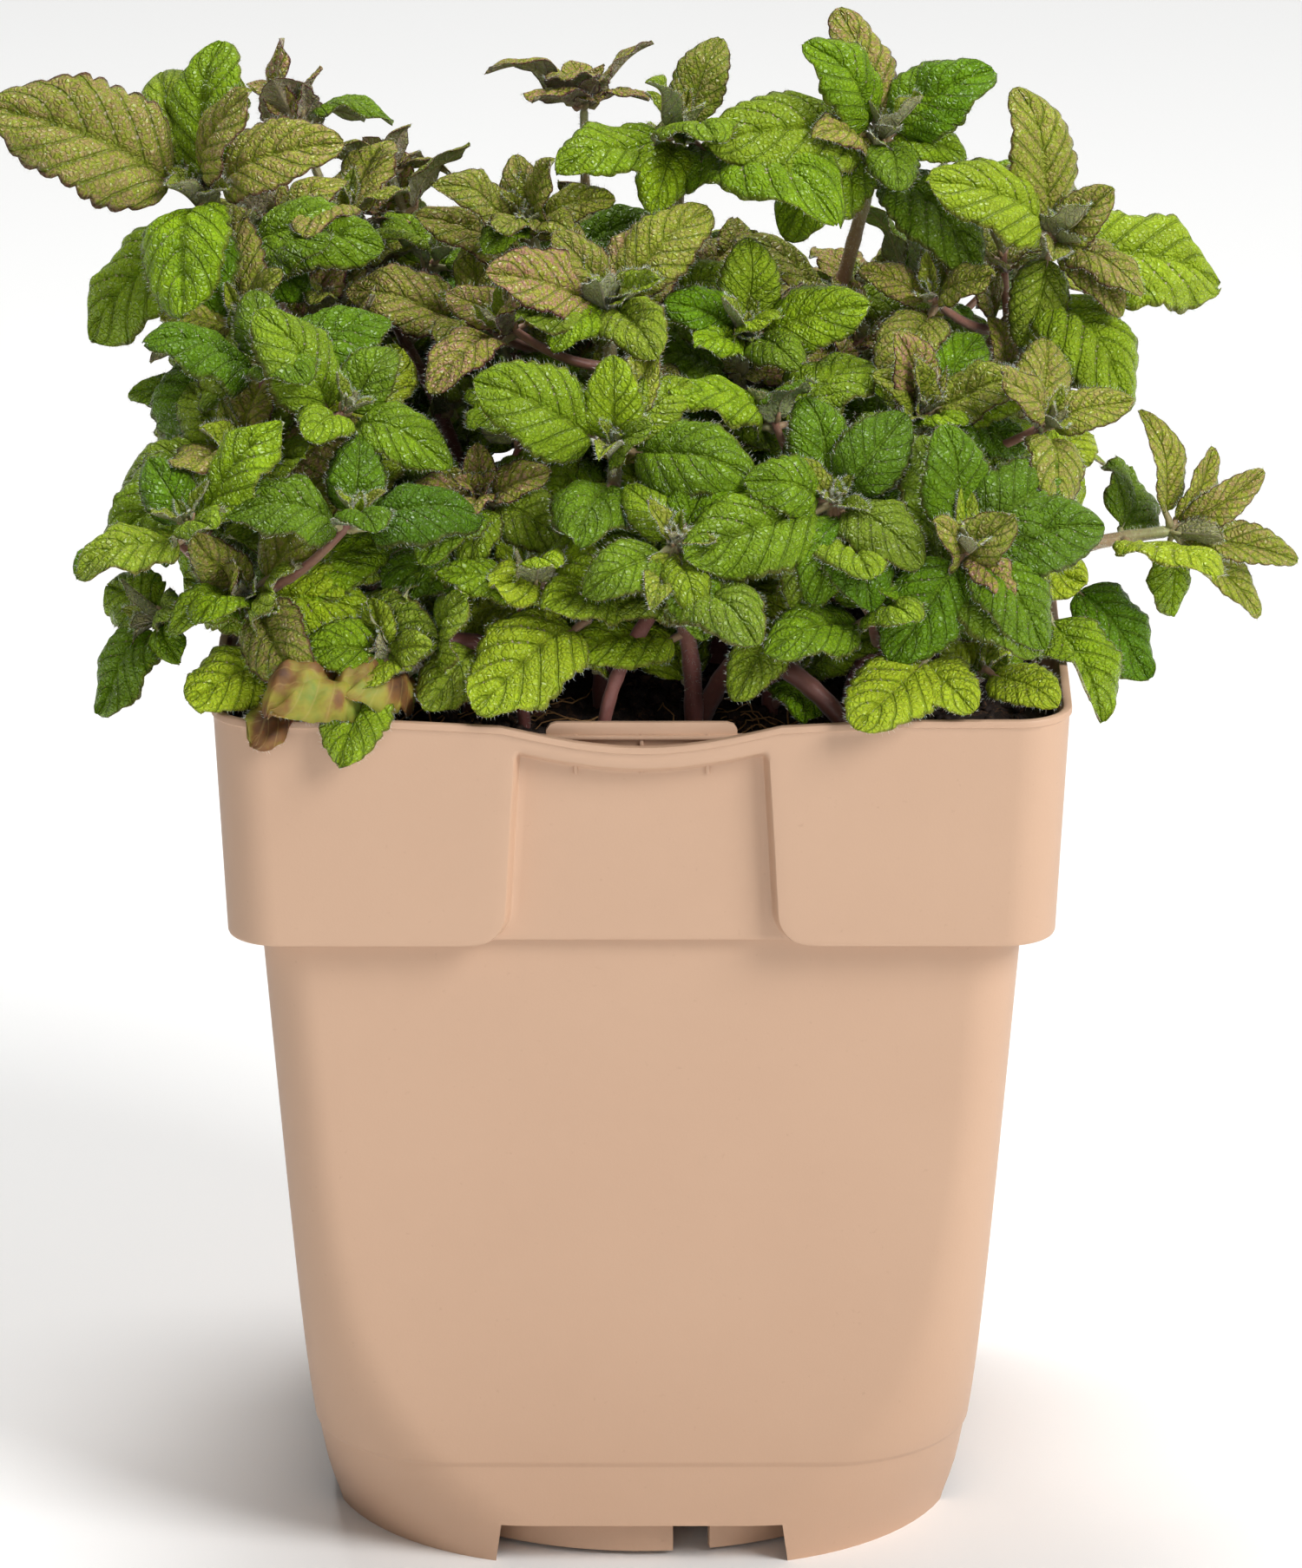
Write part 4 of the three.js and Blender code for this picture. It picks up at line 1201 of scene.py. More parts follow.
# %% Kinds of leaf
# share: width over length. fold: rise of the edges, and curl: how far they turn down.
# droop: fall of the point. arch: rise of the midrib. blunt: how round the ends are, less is rounder.
# crumple: crinkles. tint: bronze, yellow and dark. down: hairs for each square millimetre.
KIND_FIELDS = ("share", "fold", "curl", "droop", "arch", "blunt", "crumple", "tint", "down")
KINDS = {
    "green": (0.72, 0.2, 0.42, 0.45, 0.12, 0.54, 0.0, (0.12, 0.02, 0.1), 0.08),
    "bright": (0.72, 0.16, 0.38, 0.35, 0.1, 0.54, 0.0, (0.05, 0.28, 0.0), 0.08),
    "dark": (0.76, 0.14, 0.42, 0.5, 0.12, 0.54, 0.0, (0.04, 0.0, 0.75), 0.3),
    "bronze": (0.62, 0.26, 0.34, 0.3, 0.1, 0.54, 0.0, (0.72, 0.1, 0.1), 0.3),
    "purple": (0.7, 0.26, 0.2, 0.3, 0.1, 0.54, 0.0, (1.0, 0.0, 0.0), 0.3),
    "trailing": (0.44, 0.42, 0.25, 0.3, 0.08, 0.54, 0.0, (0.6, 0.25, 0.0), 0.4),
    "young": (0.52, 0.62, 0.1, 0.0, 0.02, 0.72, 0.0, (0.45, 0.12, 0.0), 0.9),
    "yellow": (0.78, 0.1, 0.26, 0.0, 0.1, 0.54, 0.0, (0.0, 0.7, 0.0), 0.1),
    "dry": (0.74, 0.3, 0.8, 0.0, 0.2, 0.54, 0.07, (0.0, 0.9, 0.0), 0.0),
}
KINDS = {name: dict(zip(KIND_FIELDS, row)) for name, row in KINDS.items()}
BLADE_THICK = 0.22
STALK_SHARE = 0.13  # of the whole leaf, from the stem to its point
print("kinds of leaf:", ", ".join(KINDS))

# %% [markdown]
# ### The blade
# The blade is worked out as a height over a flat grid: s runs from base to point and t from edge to
# edge. Each feature of the real leaf is one term: the oval outline, the teeth, the fold along the
# midrib, the edges that turn down, the swelling between the veins, the sunken midrib, the arch, the
# wavy edge, the crinkles and the drooping point. Small random shares keep leaves from being copies.

# %% The blade
def blade_grid(length, width, kind, draws):
    """Points of the upper face: across, along and up, in rows from base to point."""
    rows = int(np.clip(length * 1.8, 12, 40))
    columns = 2 * int(np.clip(width * 0.6, 4, 9))
    s = np.linspace(0.004, 0.998, rows + 1)[:, None]
    t = np.linspace(-1, 1, columns + 1)[None, :]
    reach = np.abs(t)
    # The oval outline with its rounded teeth, folded along the midrib and a little askew
    half = 0.5 * width * np.sin(np.pi * s**0.76) ** kind["blunt"] + 0.12
    teeth = 5 + length / 6
    scallop = np.abs(np.sin(np.pi * teeth * (s + 0.03 * draws.uniform()))) ** 0.6 - 0.68
    fade = np.clip(s / 0.18, 0, 1) * np.clip((1 - s) / 0.05, 0.3, 1)
    edge = 1 + 0.12 * scallop * fade * reach**4
    fold = kind["fold"] * draws.uniform(0.75, 1.3)
    x = t * half * edge / np.sqrt(1 + fold**2)
    x = x + length * draws.normal(0, 0.035) * s**2
    # The fold and the turned edges, the swelling between the veins and the sunken midrib
    vein = VEIN_PAIRS * (s - VEIN_LEAN * reach)
    swell = np.abs(np.sin(np.pi * vein)) ** 0.7 * (1 - reach**4) * np.clip(reach / 0.12, 0, 1)
    z = half * (fold * reach**1.15 - kind["curl"] * draws.uniform(0.6, 1.25) * reach**3.5)
    z = z + 0.052 * width * swell * np.clip(s * 6, 0, 1) * np.clip((1 - s) * 5, 0, 1)
    z = z - 0.036 * width * np.exp(-((reach / 0.09) ** 2))
    # The arch along the leaf, the wavy edge, the crinkles and the drooping point
    arch = kind["arch"] * draws.uniform(0.5, 1.5)
    z = z + length * (arch * np.sin(np.pi * s**0.9) + 0.03 * draws.normal() * np.sin(2 * np.pi * s))
    sides = np.where(t < 0, draws.uniform(0, 1), draws.uniform(0, 1))
    z = z + 0.06 * width * draws.uniform(0.3, 1.5) * reach**3 * np.sin(2 * np.pi * (2.3 * s + sides))
    ripple = np.sin(5.1 * s * teeth / 5 + 3 * t + draws.uniform(0, 6))
    ripple = ripple * np.sin(4.3 * t + draws.uniform(0, 6))
    z = z + (0.018 + kind["crumple"]) * width * ripple
    z = z - length * kind["droop"] * draws.uniform(0.3, 1.6) * np.clip(s - 0.5, 0, 1) ** 2
    y = s * length + 0 * t
    return np.stack([x + 0 * s, y, z], -1), s + 0 * t, t + 0 * s


sample_grid, _, _ = blade_grid(24, 17, KINDS["green"], np.random.default_rng(1))
print("a blade of 24 mm:", sample_grid.shape[0], "by", sample_grid.shape[1], "points")

# %% [markdown]
# ### Over the rim, not through it
# Leaves near the rim rest on it or hang over it. A cloth simulation could drape them, but it is
# slow and hard to steer. Lifting each point to a lowest level, which falls away steeply outside the
# rim and gently inside it, bends a leaf over the edge in much the same way.

# %% Over the rim
def clear_of_pot(points):
    """Points of a leaf lifted where they would pass through the pot's wall or the soil."""
    x, y, z = points[..., 0], points[..., 1], points[..., 2]
    out = np.maximum(np.abs(x), np.abs(y))
    along = np.where(np.abs(x) > np.abs(y), y, x)
    rim = RIM_LEVEL - dip(along) + 0.7
    outside = np.maximum(0, out - 66.2)
    inside = np.maximum(0, 61.5 - out)
    over_soil = np.maximum(rim - 1.3 * inside, SOIL_LEVEL + 1.0)
    lowest = np.where(out > 64, rim - 2.6 * outside, over_soil)
    near = (z > 126) | (out < 64)
    raised = points.copy()
    raised[..., 2] = np.where(near & (outside < 9), np.maximum(z, lowest), z)
    return raised


over_front = clear_of_pot(np.array([0.0, 0.5 - RIM_HALF, RIM_LEVEL - 15]))
print("a leaf over the front rim stays above", round(float(over_front[2]), 1), "mm")

# %% [markdown]
# ### Hairs
# A hair is a spike with three sides and a closed foot, four faces in all, which is the least that
# can still be seen from every side. Thousands are made at once by working on whole arrays.

# %% Hairs and the piles of a shoot
HAIR, FINE_HAIR = 0.022, 0.013  # radius at the foot


class Foliage:
    """The leaves and down of one shoot, gathered in two piles."""

    def __init__(self):
        self.blades, self.down = Pile(), Pile()
        self.leaves = 0


def add_hairs(pile, roots, directions, lengths, thick=HAIR):
    """Closed three-sided spikes from their roots in some directions."""
    directions = unit(directions)
    side = unit(np.cross(directions, [0.3, 0.2, 0.9]) + 1e-6)
    other = np.cross(directions, side)
    thirds = np.arange(3) * 2 * math.pi / 3
    corners = [roots + thick * (math.cos(a) * side + math.sin(a) * other) for a in thirds]
    points = np.stack([*corners, roots + directions * lengths[:, None]], 1)
    base = np.arange(len(roots))[:, None] * 4
    faces = np.array([[0, 1, 3], [1, 2, 3], [2, 0, 3], [0, 2, 1]])
    pile.add(points, [((base[:, None] + faces[None]).reshape(-1, 3), 0)])


print("hairs are", 2 * HAIR, "and", 2 * FINE_HAIR, "mm thick at the foot")

# %% [markdown]
# ### Down on a leaf
# Hairs stand along both edges of a blade and, on young leaves, over its upper face. They point
# outwards and towards the leaf's point, with some disorder. Their roots are picked at random from
# the grid of the blade, which costs nothing and keeps them exactly on its surface.

# %% Down on a leaf
def add_leaf_down(foliage, top, normal, across, along, kind, area, draws):
    """Hairs along the edge, and on the face of young leaves."""
    edge = np.concatenate([top[:, 0], top[:, -1]])
    signs = np.concatenate([-np.ones(len(top)), np.ones(len(top))])
    each = 4 if kind["down"] > 0.3 else 2
    picks = np.repeat(np.arange(len(edge)), each)
    shares = draws.uniform(0, 1, len(picks))[:, None]
    onward = np.where((picks + 1) % len(top) == 0, picks, picks + 1)
    roots = edge[picks] * (1 - shares) + edge[onward] * shares
    pull = signs[picks][:, None] * across + 0.5 * along + 0.35 * draws.normal(size=(len(picks), 3))
    add_hairs(foliage.down, roots, pull, draws.uniform(0.35, 0.95, len(picks)))
    number = int(area * kind["down"])
    if number:
        i = draws.integers(1, top.shape[0] - 1, number)
        j = draws.integers(0, top.shape[1], number)
        face = normal[i, j] + 0.5 * along + 0.35 * draws.normal(size=(number, 3))
        add_hairs(foliage.down, top[i, j], face, draws.uniform(0.3, 0.8, number), FINE_HAIR)

# %% [markdown]
# ### A leaf in its place
# The grid lies in a space of its own, and three directions bring it into the crown: along runs from
# the stalk to the point of the leaf, up is the way its face looks, and across is square to both. A
# second grid beneath the first and a strip round the edge close the blade, and a tube makes the
# stalk. The place on the blade and the tint go with the points, for the materials.

# %% A leaf in its place
def add_leaf(foliage, attach, point, face, kind_name, draws, withered=False):
    """A stalked leaf from its place on the stem to its point, its upper face turned some way."""
    kind = KINDS[kind_name]
    attach, point = np.asarray(attach, float), np.asarray(point, float)
    span = point - attach
    whole = np.linalg.norm(span)
    along = span / whole
    up = unit(face - along * (np.asarray(face) @ along))
    across = np.cross(along, up)
    stalk = STALK_SHARE * whole
    length = whole - stalk
    width = length * kind["share"] * draws.uniform(0.92, 1.08)
    grid, s, t = blade_grid(length, width, kind, draws)
    base = attach + along * stalk
    top = base + grid[..., :1] * across + grid[..., 1:2] * along + grid[..., 2:] * up
    top = clear_of_pot(top)
    normal = unit(np.cross(np.gradient(top, axis=1), np.gradient(top, axis=0)))
    thin = BLADE_THICK * (1 - 0.45 * np.abs(t) ** 4)[..., None]
    under = top - normal * thin
    rows, columns = s.shape
    index = np.arange(rows * columns).reshape(rows, columns)
    quads = np.stack([index[:-1, :-1], index[:-1, 1:], index[1:, 1:], index[1:, :-1]], -1)
    quads = quads.reshape(-1, 4)
    loop = np.concatenate([index[0, :-1], index[:-1, -1], index[-1, :0:-1], index[:0:-1, 0]])
    after = np.roll(loop, -1)
    shift = rows * columns
    rim = np.stack([after, loop, loop + shift, after + shift], -1)
    places = np.stack([s, t * 0.5 + 0.5], -1)
    bronze, yellow, dark = kind["tint"]
    tint = (
        np.clip(bronze + draws.normal(0, 0.1), 0, 1),
        np.clip(yellow + draws.normal(0, 0.06), 0, 1),
        draws.uniform(0, 1),
        np.clip(dark + draws.normal(0, 0.12), 0, 1),
    )
    finish = (3, 3) if withered else (0, 1)
    foliage.blades.add(
        np.concatenate([top.reshape(-1, 3), under.reshape(-1, 3)]),
        [(quads, finish[0]), (quads[:, ::-1] + shift, finish[1]), (rim, finish[0])],
        np.concatenate([places.reshape(-1, 2)] * 2),
        tint,
    )
    middle = columns // 2
    halfway = attach + along * stalk * 0.5
    stalk_path = np.vstack([attach, halfway, under[0, middle], under[2, middle]])
    thick = 0.30 + 0.018 * length
    points, walls, ends = tube(stalk_path, thick * np.array([1.25, 1.0, 0.9, 0.5]), 6)
    ripe = np.full((len(points), 2), 0.72 + 0.25 * draws.uniform())
    foliage.blades.add(points, [(walls, 2), (ends, 2)], ripe)
    foliage.leaves += 1
    add_leaf_down(foliage, top, normal, across, along, kind, length * width * 0.7, draws)


sample = Foliage()
add_leaf(sample, (0, 0, 200), (24, 0, 205), (0, 0, 1), "green", np.random.default_rng(1))
print("one leaf:", sample.blades.count, "points, its down:", sample.down.count)

# %% [markdown]
# ## The leaves of each shoot
# The leaves of the mint family stand in pairs, each pair turned a quarter against the one below.
# The largest pair of most shoots is in the frame. The others of the front and the crown are placed
# one by one, as a florist would turn them, and are listed here for each shoot by the place of their
# points: to the right, to the back and above the soil, in millimetres. Which point of the stem a leaf
# springs from follows from the length such a leaf has.

# %% Leaves of the frame, and leaves placed one by one
FRAME_KINDS = {
    1: ("bronze", "bronze"), 4: ("green", "bronze"), 5: ("bronze", "green"), 6: ("green", "green"),
    8: ("purple", "purple"), 10: ("bronze", "bronze"), 11: ("purple", "bronze"),
    12: ("green", "green"), 13: ("bright", "dark"), 15: ("green", "green"), 16: ("dark", "dark"),
    17: ("dark", "dark"), 18: ("green", "green"), 19: ("bronze", "bright"),
    21: ("trailing", "trailing"), 22: ("green", "green"), 24: ("green", "green"),
}  # fmt: skip
PLACED = {
    1: [
        ("bright", -67, 10, 94), ("bronze", -61, -8, 91), ("green", -71, -22, 61),
        ("young", -73, -8, 76), ("young", -64, -10, 75), ("bright", -86, -6, 51),
        ("green", -69, -10, 50), ("green", -52, 2, 54), ("green", -40, 0, 64),
        ("green", -75, 14, 89),
    ],
    2: [
        ("purple", -57, 32, 88), ("purple", -58, 24, 84), ("green", -39, 24, 78),
        ("bronze", -44, 36, 75),
    ],
    3: [
        ("bronze", -49, 34, 70), ("purple", -35, 50, 63), ("purple", -42, 34, 60),
        ("bronze", -30, 44, 63), ("purple", -40, 48, 66),
    ],
    4: [
        ("bronze", -57, -28, 55), ("purple", -57, -48, 43), ("young", -67, -40, 47),
        ("young", -58, -40, 46), ("bronze", -69, -50, 44), ("green", -70, -20, 48),
        ("bright", -80, -30, 34), ("green", -79, -12, 33), ("green", -57, -14, 58),
        ("green", -52, -16, 49), ("green", -72, -6, 49), ("yellow", -37, -10, 50),
        ("yellow", -43, -18, 46), ("bright", -34, -25, 42),
    ],
    5: [
        ("bronze", -68, -54, 34), ("bronze", -62, -58, 30), ("young", -55, -62, 24),
        ("green", -38, -44, 30), ("bright", -41, -52, 22), ("green", -32, -60, 19),
        ("bronze", -51, -66, 14), ("green", -46, -40, 32), ("bright", -67, -62, 24),
    ],
    6: [
        ("green", -79, -12, 10), ("green", -72, -30, 6), ("green", -72, -30, 15),
    ],
    7: [
        ("green", -32, -64, 20), ("green", -51, -62, 19), ("yellow", -45, -66, 13),
        ("bright", -41, -54, 24),
    ],
    8: [
        ("purple", -13, 14, 87), ("purple", -7, 18, 82), ("purple", 1, 20, 82),
        ("purple", -17, 12, 84),
    ],
    9: [
        ("bronze", 12, 12, 94), ("young", 1, -4, 91), ("young", 7, -8, 82), ("bright", -13, -6, 78),
        ("bright", 11, -14, 86), ("green", 2, -10, 73), ("green", 29, -20, 76),
    ],
    10: [
        ("bronze", -14, -6, 79), ("bronze", -19, 4, 77), ("bronze", -22, -12, 70),
        ("bronze", -11, -10, 69), ("green", -24, -10, 66), ("bronze", -9, -8, 66),
    ],
    11: [
        ("bronze", -13, -20, 72), ("young", -6, -30, 67), ("young", 3, -32, 68),
        ("bronze", 1, -14, 71), ("green", 2, -38, 59), ("green", -13, -34, 58),
    ],
    12: [
        ("bright", 17, -14, 69), ("green", 24, -30, 54), ("green", 9, -30, 57),
        ("bright", 19, -26, 61), ("young", 13, -28, 63),
    ],
    13: [
        ("bright", -4, -42, 58), ("bright", 7, -38, 54), ("young", 3, -34, 58),
        ("bright", 0, -50, 50), ("young", -6, -54, 46),
    ],
    14: [
        ("purple", -14, -44, 41), ("green", -26, -50, 28), ("green", -10, -46, 31),
        ("green", -33, -54, 31), ("bronze", -24, -34, 38), ("purple", -38, -46, 36),
        ("bronze", -32, -38, 39),
    ],
    15: [
        ("bright", -2, -50, 41), ("young", 1, -66, 26), ("bright", 8, -66, 26),
        ("green", 10, -66, 22),
    ],
    16: [
        ("dark", 26, -40, 52), ("dark", 35, -62, 26), ("dark", 27, -60, 26), ("green", 7, -62, 33),
        ("dark", 42, -58, 31), ("green", 24, -58, 23),
    ],
    17: [
        ("bronze", 55, -56, 38), ("purple", 56, -60, 26), ("bronze", 45, -58, 38),
        ("dark", 38, -62, 17), ("dark", 61, -60, 18), ("dark", 66, -42, 41),
    ],
    18: [
        ("bronze", 31, 8, 100), ("green", 49, 2, 92), ("green", 50, -4, 79), ("dark", 40, -14, 78),
        ("bronze", 27, -12, 85), ("young", 35, -8, 84), ("young", 43, -8, 90),
        ("bronze", 54, 8, 88), ("green", 53, -10, 64), ("green", 21, -8, 69),
        ("bright", 11, -12, 85),
    ],
    19: [
        ("bronze", 72, -8, 75), ("bronze", 77, -14, 60), ("bright", 45, -14, 79),
        ("young", 63, -16, 66), ("bright", 76, -16, 43), ("green", 59, -10, 50),
        ("green", 53, 6, 75), ("young", 68, -12, 74), ("bronze", 74, -12, 56),
    ],
    20: [
        ("purple", 40, -28, 58), ("bronze", 58, -28, 52), ("bronze", 36, -30, 52),
        ("green", 52, -16, 55), ("bright", 61, -26, 49), ("young", 42, -30, 55),
        ("green", 48, -34, 46), ("dark", 59, -28, 40), ("green", 63, -20, 37),
    ],
    21: [
        ("trailing", 89, -10, 34), ("trailing", 97, -12, 30), ("trailing", 96, -16, 8),
        ("bright", 82, -18, 9),
    ],
}  # fmt: skip
print("leaves placed by hand:", sum(len(rows) for rows in PLACED.values()))

# %% [markdown]
# ### Where a leaf springs from, and which way it looks
# A placed leaf gives only its point. Its foot is found by walking down the stem and asking at each
# step how well a leaf from here would fit: about 16 mm long, hardly ever over 24 mm, and near the
# tip rather than far below it. Its upper face looks along the shoot, a little to the sky and to the
# open side.

# %% Where a leaf springs from
LEAF_REACH, LONGEST_REACH = 16, 24
BARE_FOOT = 14  # the lowest stretch of a stem, without leaves


def lifted(place):
    """A place given from the soil's level, as a place in the frame."""
    return np.array(place, float) + (0, 0, SOIL_LEVEL)


def spring_point(stem, point):
    """How far back from the tip a leaf with that point is attached."""
    best, chosen = 1e9, 0.0
    for back in np.arange(0, stem.length - BARE_FOOT, 1.5):
        place, _ = stem.at(back)
        away = np.linalg.norm(point - place)
        cost = 0.4 * abs(away - LEAF_REACH) + 0.3 * back + 2 * max(0, away - LONGEST_REACH)
        if cost < best:
            best, chosen = cost, back
    return chosen


# Shoots that hang out of the crown turn their leaves to the light at the front.
LIGHTWARD = {21: (0.4, -0.75, 0.45), 6: (-0.3, -0.6, 0.7)}


def upper_face(number, heading, place, lean=0.25):
    """The way a leaf's upper face looks: along its shoot, turned to the sky and the open side."""
    if number in LIGHTWARD:
        return unit(np.array(LIGHTWARD[number]) + 0.3 * heading)
    open_side = -0.4 if place[1] < 12 else 0.25
    return unit(heading + np.array([0.12 * np.sign(place[0]), open_side, lean]))


sample_back = spring_point(stems[18], lifted((31, 8, 100)))
print("the first leaf placed on shoot 18 springs", float(sample_back), "mm below its tip")

# %% [markdown]
# ### The large leaves
# The leaves of the frame come first and keep both their ends, so that each fine leaf lies where its
# CAD leaf does. The leaves placed by hand follow. A large leaf of each shoot also gives the axis
# that the smallest pairs are set by.

# %% Frame leaves and placed leaves
foliages = {number: Foliage() for number in stems}
frame_leaf_nodes = {number: [] for number in stems}
main_axis = {}
for number, stem in stems.items():
    tip, heading = stem.at(0)
    for side, letter in enumerate("ab"):
        name = f"leaf_{number:02d}_{letter}"
        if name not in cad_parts:
            continue
        base, point = leaf_ends(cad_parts[name], tip)
        attach = tip + (base - tip) * 0.3
        leaf_kind = FRAME_KINDS[number][side]
        face = upper_face(number, heading, attach, 0.0)
        add_leaf(foliages[number], attach, point, face, leaf_kind, rng)
        frame_leaf_nodes[number].append(name)
        main_axis[number] = unit(point - tip)
    for kind_name, *place in PLACED.get(number, []):
        point = lifted(place)
        back = spring_point(stem, point)
        attach, here = stem.at(back)
        face = upper_face(number, here, attach)
        add_leaf(foliages[number], attach, point, face, kind_name, rng)
        main_axis.setdefault(number, unit(point - attach))
print("large leaves:", sum(foliage.leaves for foliage in foliages.values()))

# %% [markdown]
# ### Hearts of the shoots
# A shoot ends in pairs of ever smaller leaves, packed round the growing point. The smaller a pair
# is, the steeper it stands, and each is turned a quarter against the last. A table of four pairs,
# with length, tilt and height above the tip, says all of that.

# %% Hearts of the shoots
def sideways(heading, turn):
    """A direction across the heading, turned by an angle about it."""
    side = unit(np.cross(heading, [0.12, 0.95, 0.2]))
    return math.cos(turn) * side + math.sin(turn) * np.cross(heading, side)


PURPLE_TOPS = (2, 3, 8, 14)
HEART = ((9.5, 46, 0.0), (6.4, 62, 0.5), (4.2, 74, 1.0), (2.6, 82, 1.5))
for number, stem in stems.items():
    tip, heading = stem.at(0)
    axis = main_axis.get(number, sideways(heading, 0.4))
    axis = unit(axis - heading * (axis @ heading))
    quarter = np.cross(heading, axis)
    tone = "purple" if number in PURPLE_TOPS else "young"
    for order, (size, rise, lift) in enumerate(HEART):
        direction = quarter if order % 2 == 0 else axis
        for sign in (-1, 1):
            tilt = math.radians(rise + rng.normal(0, 5))
            outward = math.cos(tilt) * sign * direction + math.sin(tilt) * heading
            outward = unit(outward + 0.08 * rng.normal(size=3))
            attach = tip + heading * (lift - 0.5)
            point = attach + outward * size * rng.uniform(0.85, 1.15)
            add_leaf(foliages[number], attach, point, heading - 0.6 * sign * direction, tone, rng)
print("with the hearts:", sum(foliage.leaves for foliage in foliages.values()), "leaves")

# %% [markdown]
# ### Room in the crown
# The leaves that are left are half hidden, so a rule with a seed places them. It needs to know
# three things: how high the crown is over a place, whether a leaf that ends there stays in the
# crown and off the pot, and which kind of leaf grows there. The outline is a dome with a shallow
# saddle.

# %% Room in the crown
def crown_top(x, y):
    """Height of the crown's outline over a place."""
    dome = 80 * (1 - (x / 112) ** 4) * (1 - ((y - 5) / 100) ** 2)
    return SOIL_LEVEL + dome - 14 * np.exp(-(((x - 15) / 60) ** 2))


def fits(point):
    """Whether a leaf from the rule stays in the crown and clear of the pot."""
    x, y, z = point
    inside_pot = max(abs(x), abs(y)) < 59
    if not inside_pot and z <= RIM_LEVEL + 4:
        return False
    return SOIL_LEVEL + 3 < z < crown_top(x, y) + 8 and abs(y) < 74 and abs(x) < 92


def rule_kind(place, draws):
    """Mostly green, bronze at the top and at the back, and yellow now and then low down."""
    up = place[2] - SOIL_LEVEL
    if up < 26 and draws.random() < 0.22:
        return "yellow"
    if up > 44 and draws.random() < (0.6 if place[1] > 5 else 0.35):
        return draws.choice(["bronze", "purple"], p=[0.75, 0.25])
    return draws.choice(["green", "bright", "dark"], p=[0.52, 0.26, 0.22])


print("crown over the middle of the pot:", round(float(crown_top(0, 0)), 1), "mm")

# %% [markdown]
# ### Pairs down the stems
# Below its tip a stem has a pair of leaves every 9.5 to 13 mm, each turned a quarter against the
# one above. They stand up near the tip and spread flat further down. A leaf that would leave the
# crown is left out, and so is one in sixteen of the rest, as if it had dropped.

# %% Pairs down the stems
DROPPED = 0.06
for number, stem in stems.items():
    back, order = 8.0, 0
    turn = rng.uniform(0, np.pi)
    while back < stem.length - 15:
        attach, here = stem.at(back)
        low_down = (back / stem.length) ** 1.5
        for sign in (-1, 1):
            across = sideways(here, turn + order * np.pi / 2) * sign
            tilt = math.radians(rng.normal(26 - 26 * low_down, 12))
            outward = unit(math.cos(tilt) * across + math.sin(tilt) * here + np.array([0, 0, 0.1]))
            point = attach + outward * rng.uniform(16, 23) * (1 - 0.15 * low_down)
            if rng.random() < DROPPED or not fits(point):
                continue
            face = upper_face(number, here, attach, 0.6)
            add_leaf(foliages[number], attach, point, face, rule_kind(point, rng), rng)
        back += rng.uniform(9.5, 13)
        order += 1
print("with the lower pairs:", sum(foliage.leaves for foliage in foliages.values()), "leaves")

# %% [markdown]
# ### Places of the side shoots
# Side shoots fill the crown between the main ones. They are spread like seeds thrown evenly: a
# place is drawn in the crown and kept if it lies near the outline and no other shoot ends close by.
# Each is then given to the stem that a branch can reach it from without growing downwards. A few
# clearings are kept free, where one looks into the crown or through it.

# %% Places of the side shoots
# Centre of each clearing, from the middle of the soil at its level, and its radius
CLEARINGS = (
    ((-38, -20, 48), 17), ((-50, -4, 67), 13), ((24, -4, 84), 15), ((60, -10, 87), 12),
    ((-14, -52, 11), 12), ((20, -58, 9), 10), ((66, -20, 33), 16),
)  # fmt: skip
SHOOT_SPACING, LONGEST_BRANCH = 15.5, 34
shoot_ends = [stem.at(0)[0] for stem in stems.values()]
branches = {number: [] for number in stems}
for _ in range(9000):
    place = np.array([rng.uniform(-72, 62), rng.uniform(-53, 60), SOIL_LEVEL + rng.uniform(8, 72)])
    if any(np.linalg.norm(place - lifted(centre)) < size for centre, size in CLEARINGS):
        continue
    depth = crown_top(place[0], place[1]) - place[2]
    at_side = max(abs(place[0]) / 72, abs(place[1]) / 56)
    if depth < 6 or (depth > 30 and at_side < 0.62) or not fits(place):
        continue
    if at_side > 0.82 and place[2] < SOIL_LEVEL + 14 and place[1] < 25:
        continue
    if min(np.linalg.norm(place - end) for end in shoot_ends) < SHOOT_SPACING:
        continue
    choices = []
    for number, stem in stems.items():
        climb = np.maximum(0, stem.path[:, 2] - place[2] + 8)
        reach = np.linalg.norm(stem.path - place, axis=1) + 3 * climb
        nearest = int(reach.argmin())
        choices.append((reach[nearest], number, nearest))
    reach, number, nearest = min(choices)
    if reach > LONGEST_BRANCH:
        continue
    shoot_ends.append(place)
    branches[number].append((nearest, place))
print("side shoots:", sum(len(rows) for rows in branches.values()))

# %% [markdown]
# ### Branches and their leaves
# A side shoot is a thin branch that sags a little and then turns up, so its path is a curve with
# one control point below the middle. At its end it carries four pairs of leaves, from full size to
# tiny. The two large pairs share the kind of the whole shoot, and the small ones are young.

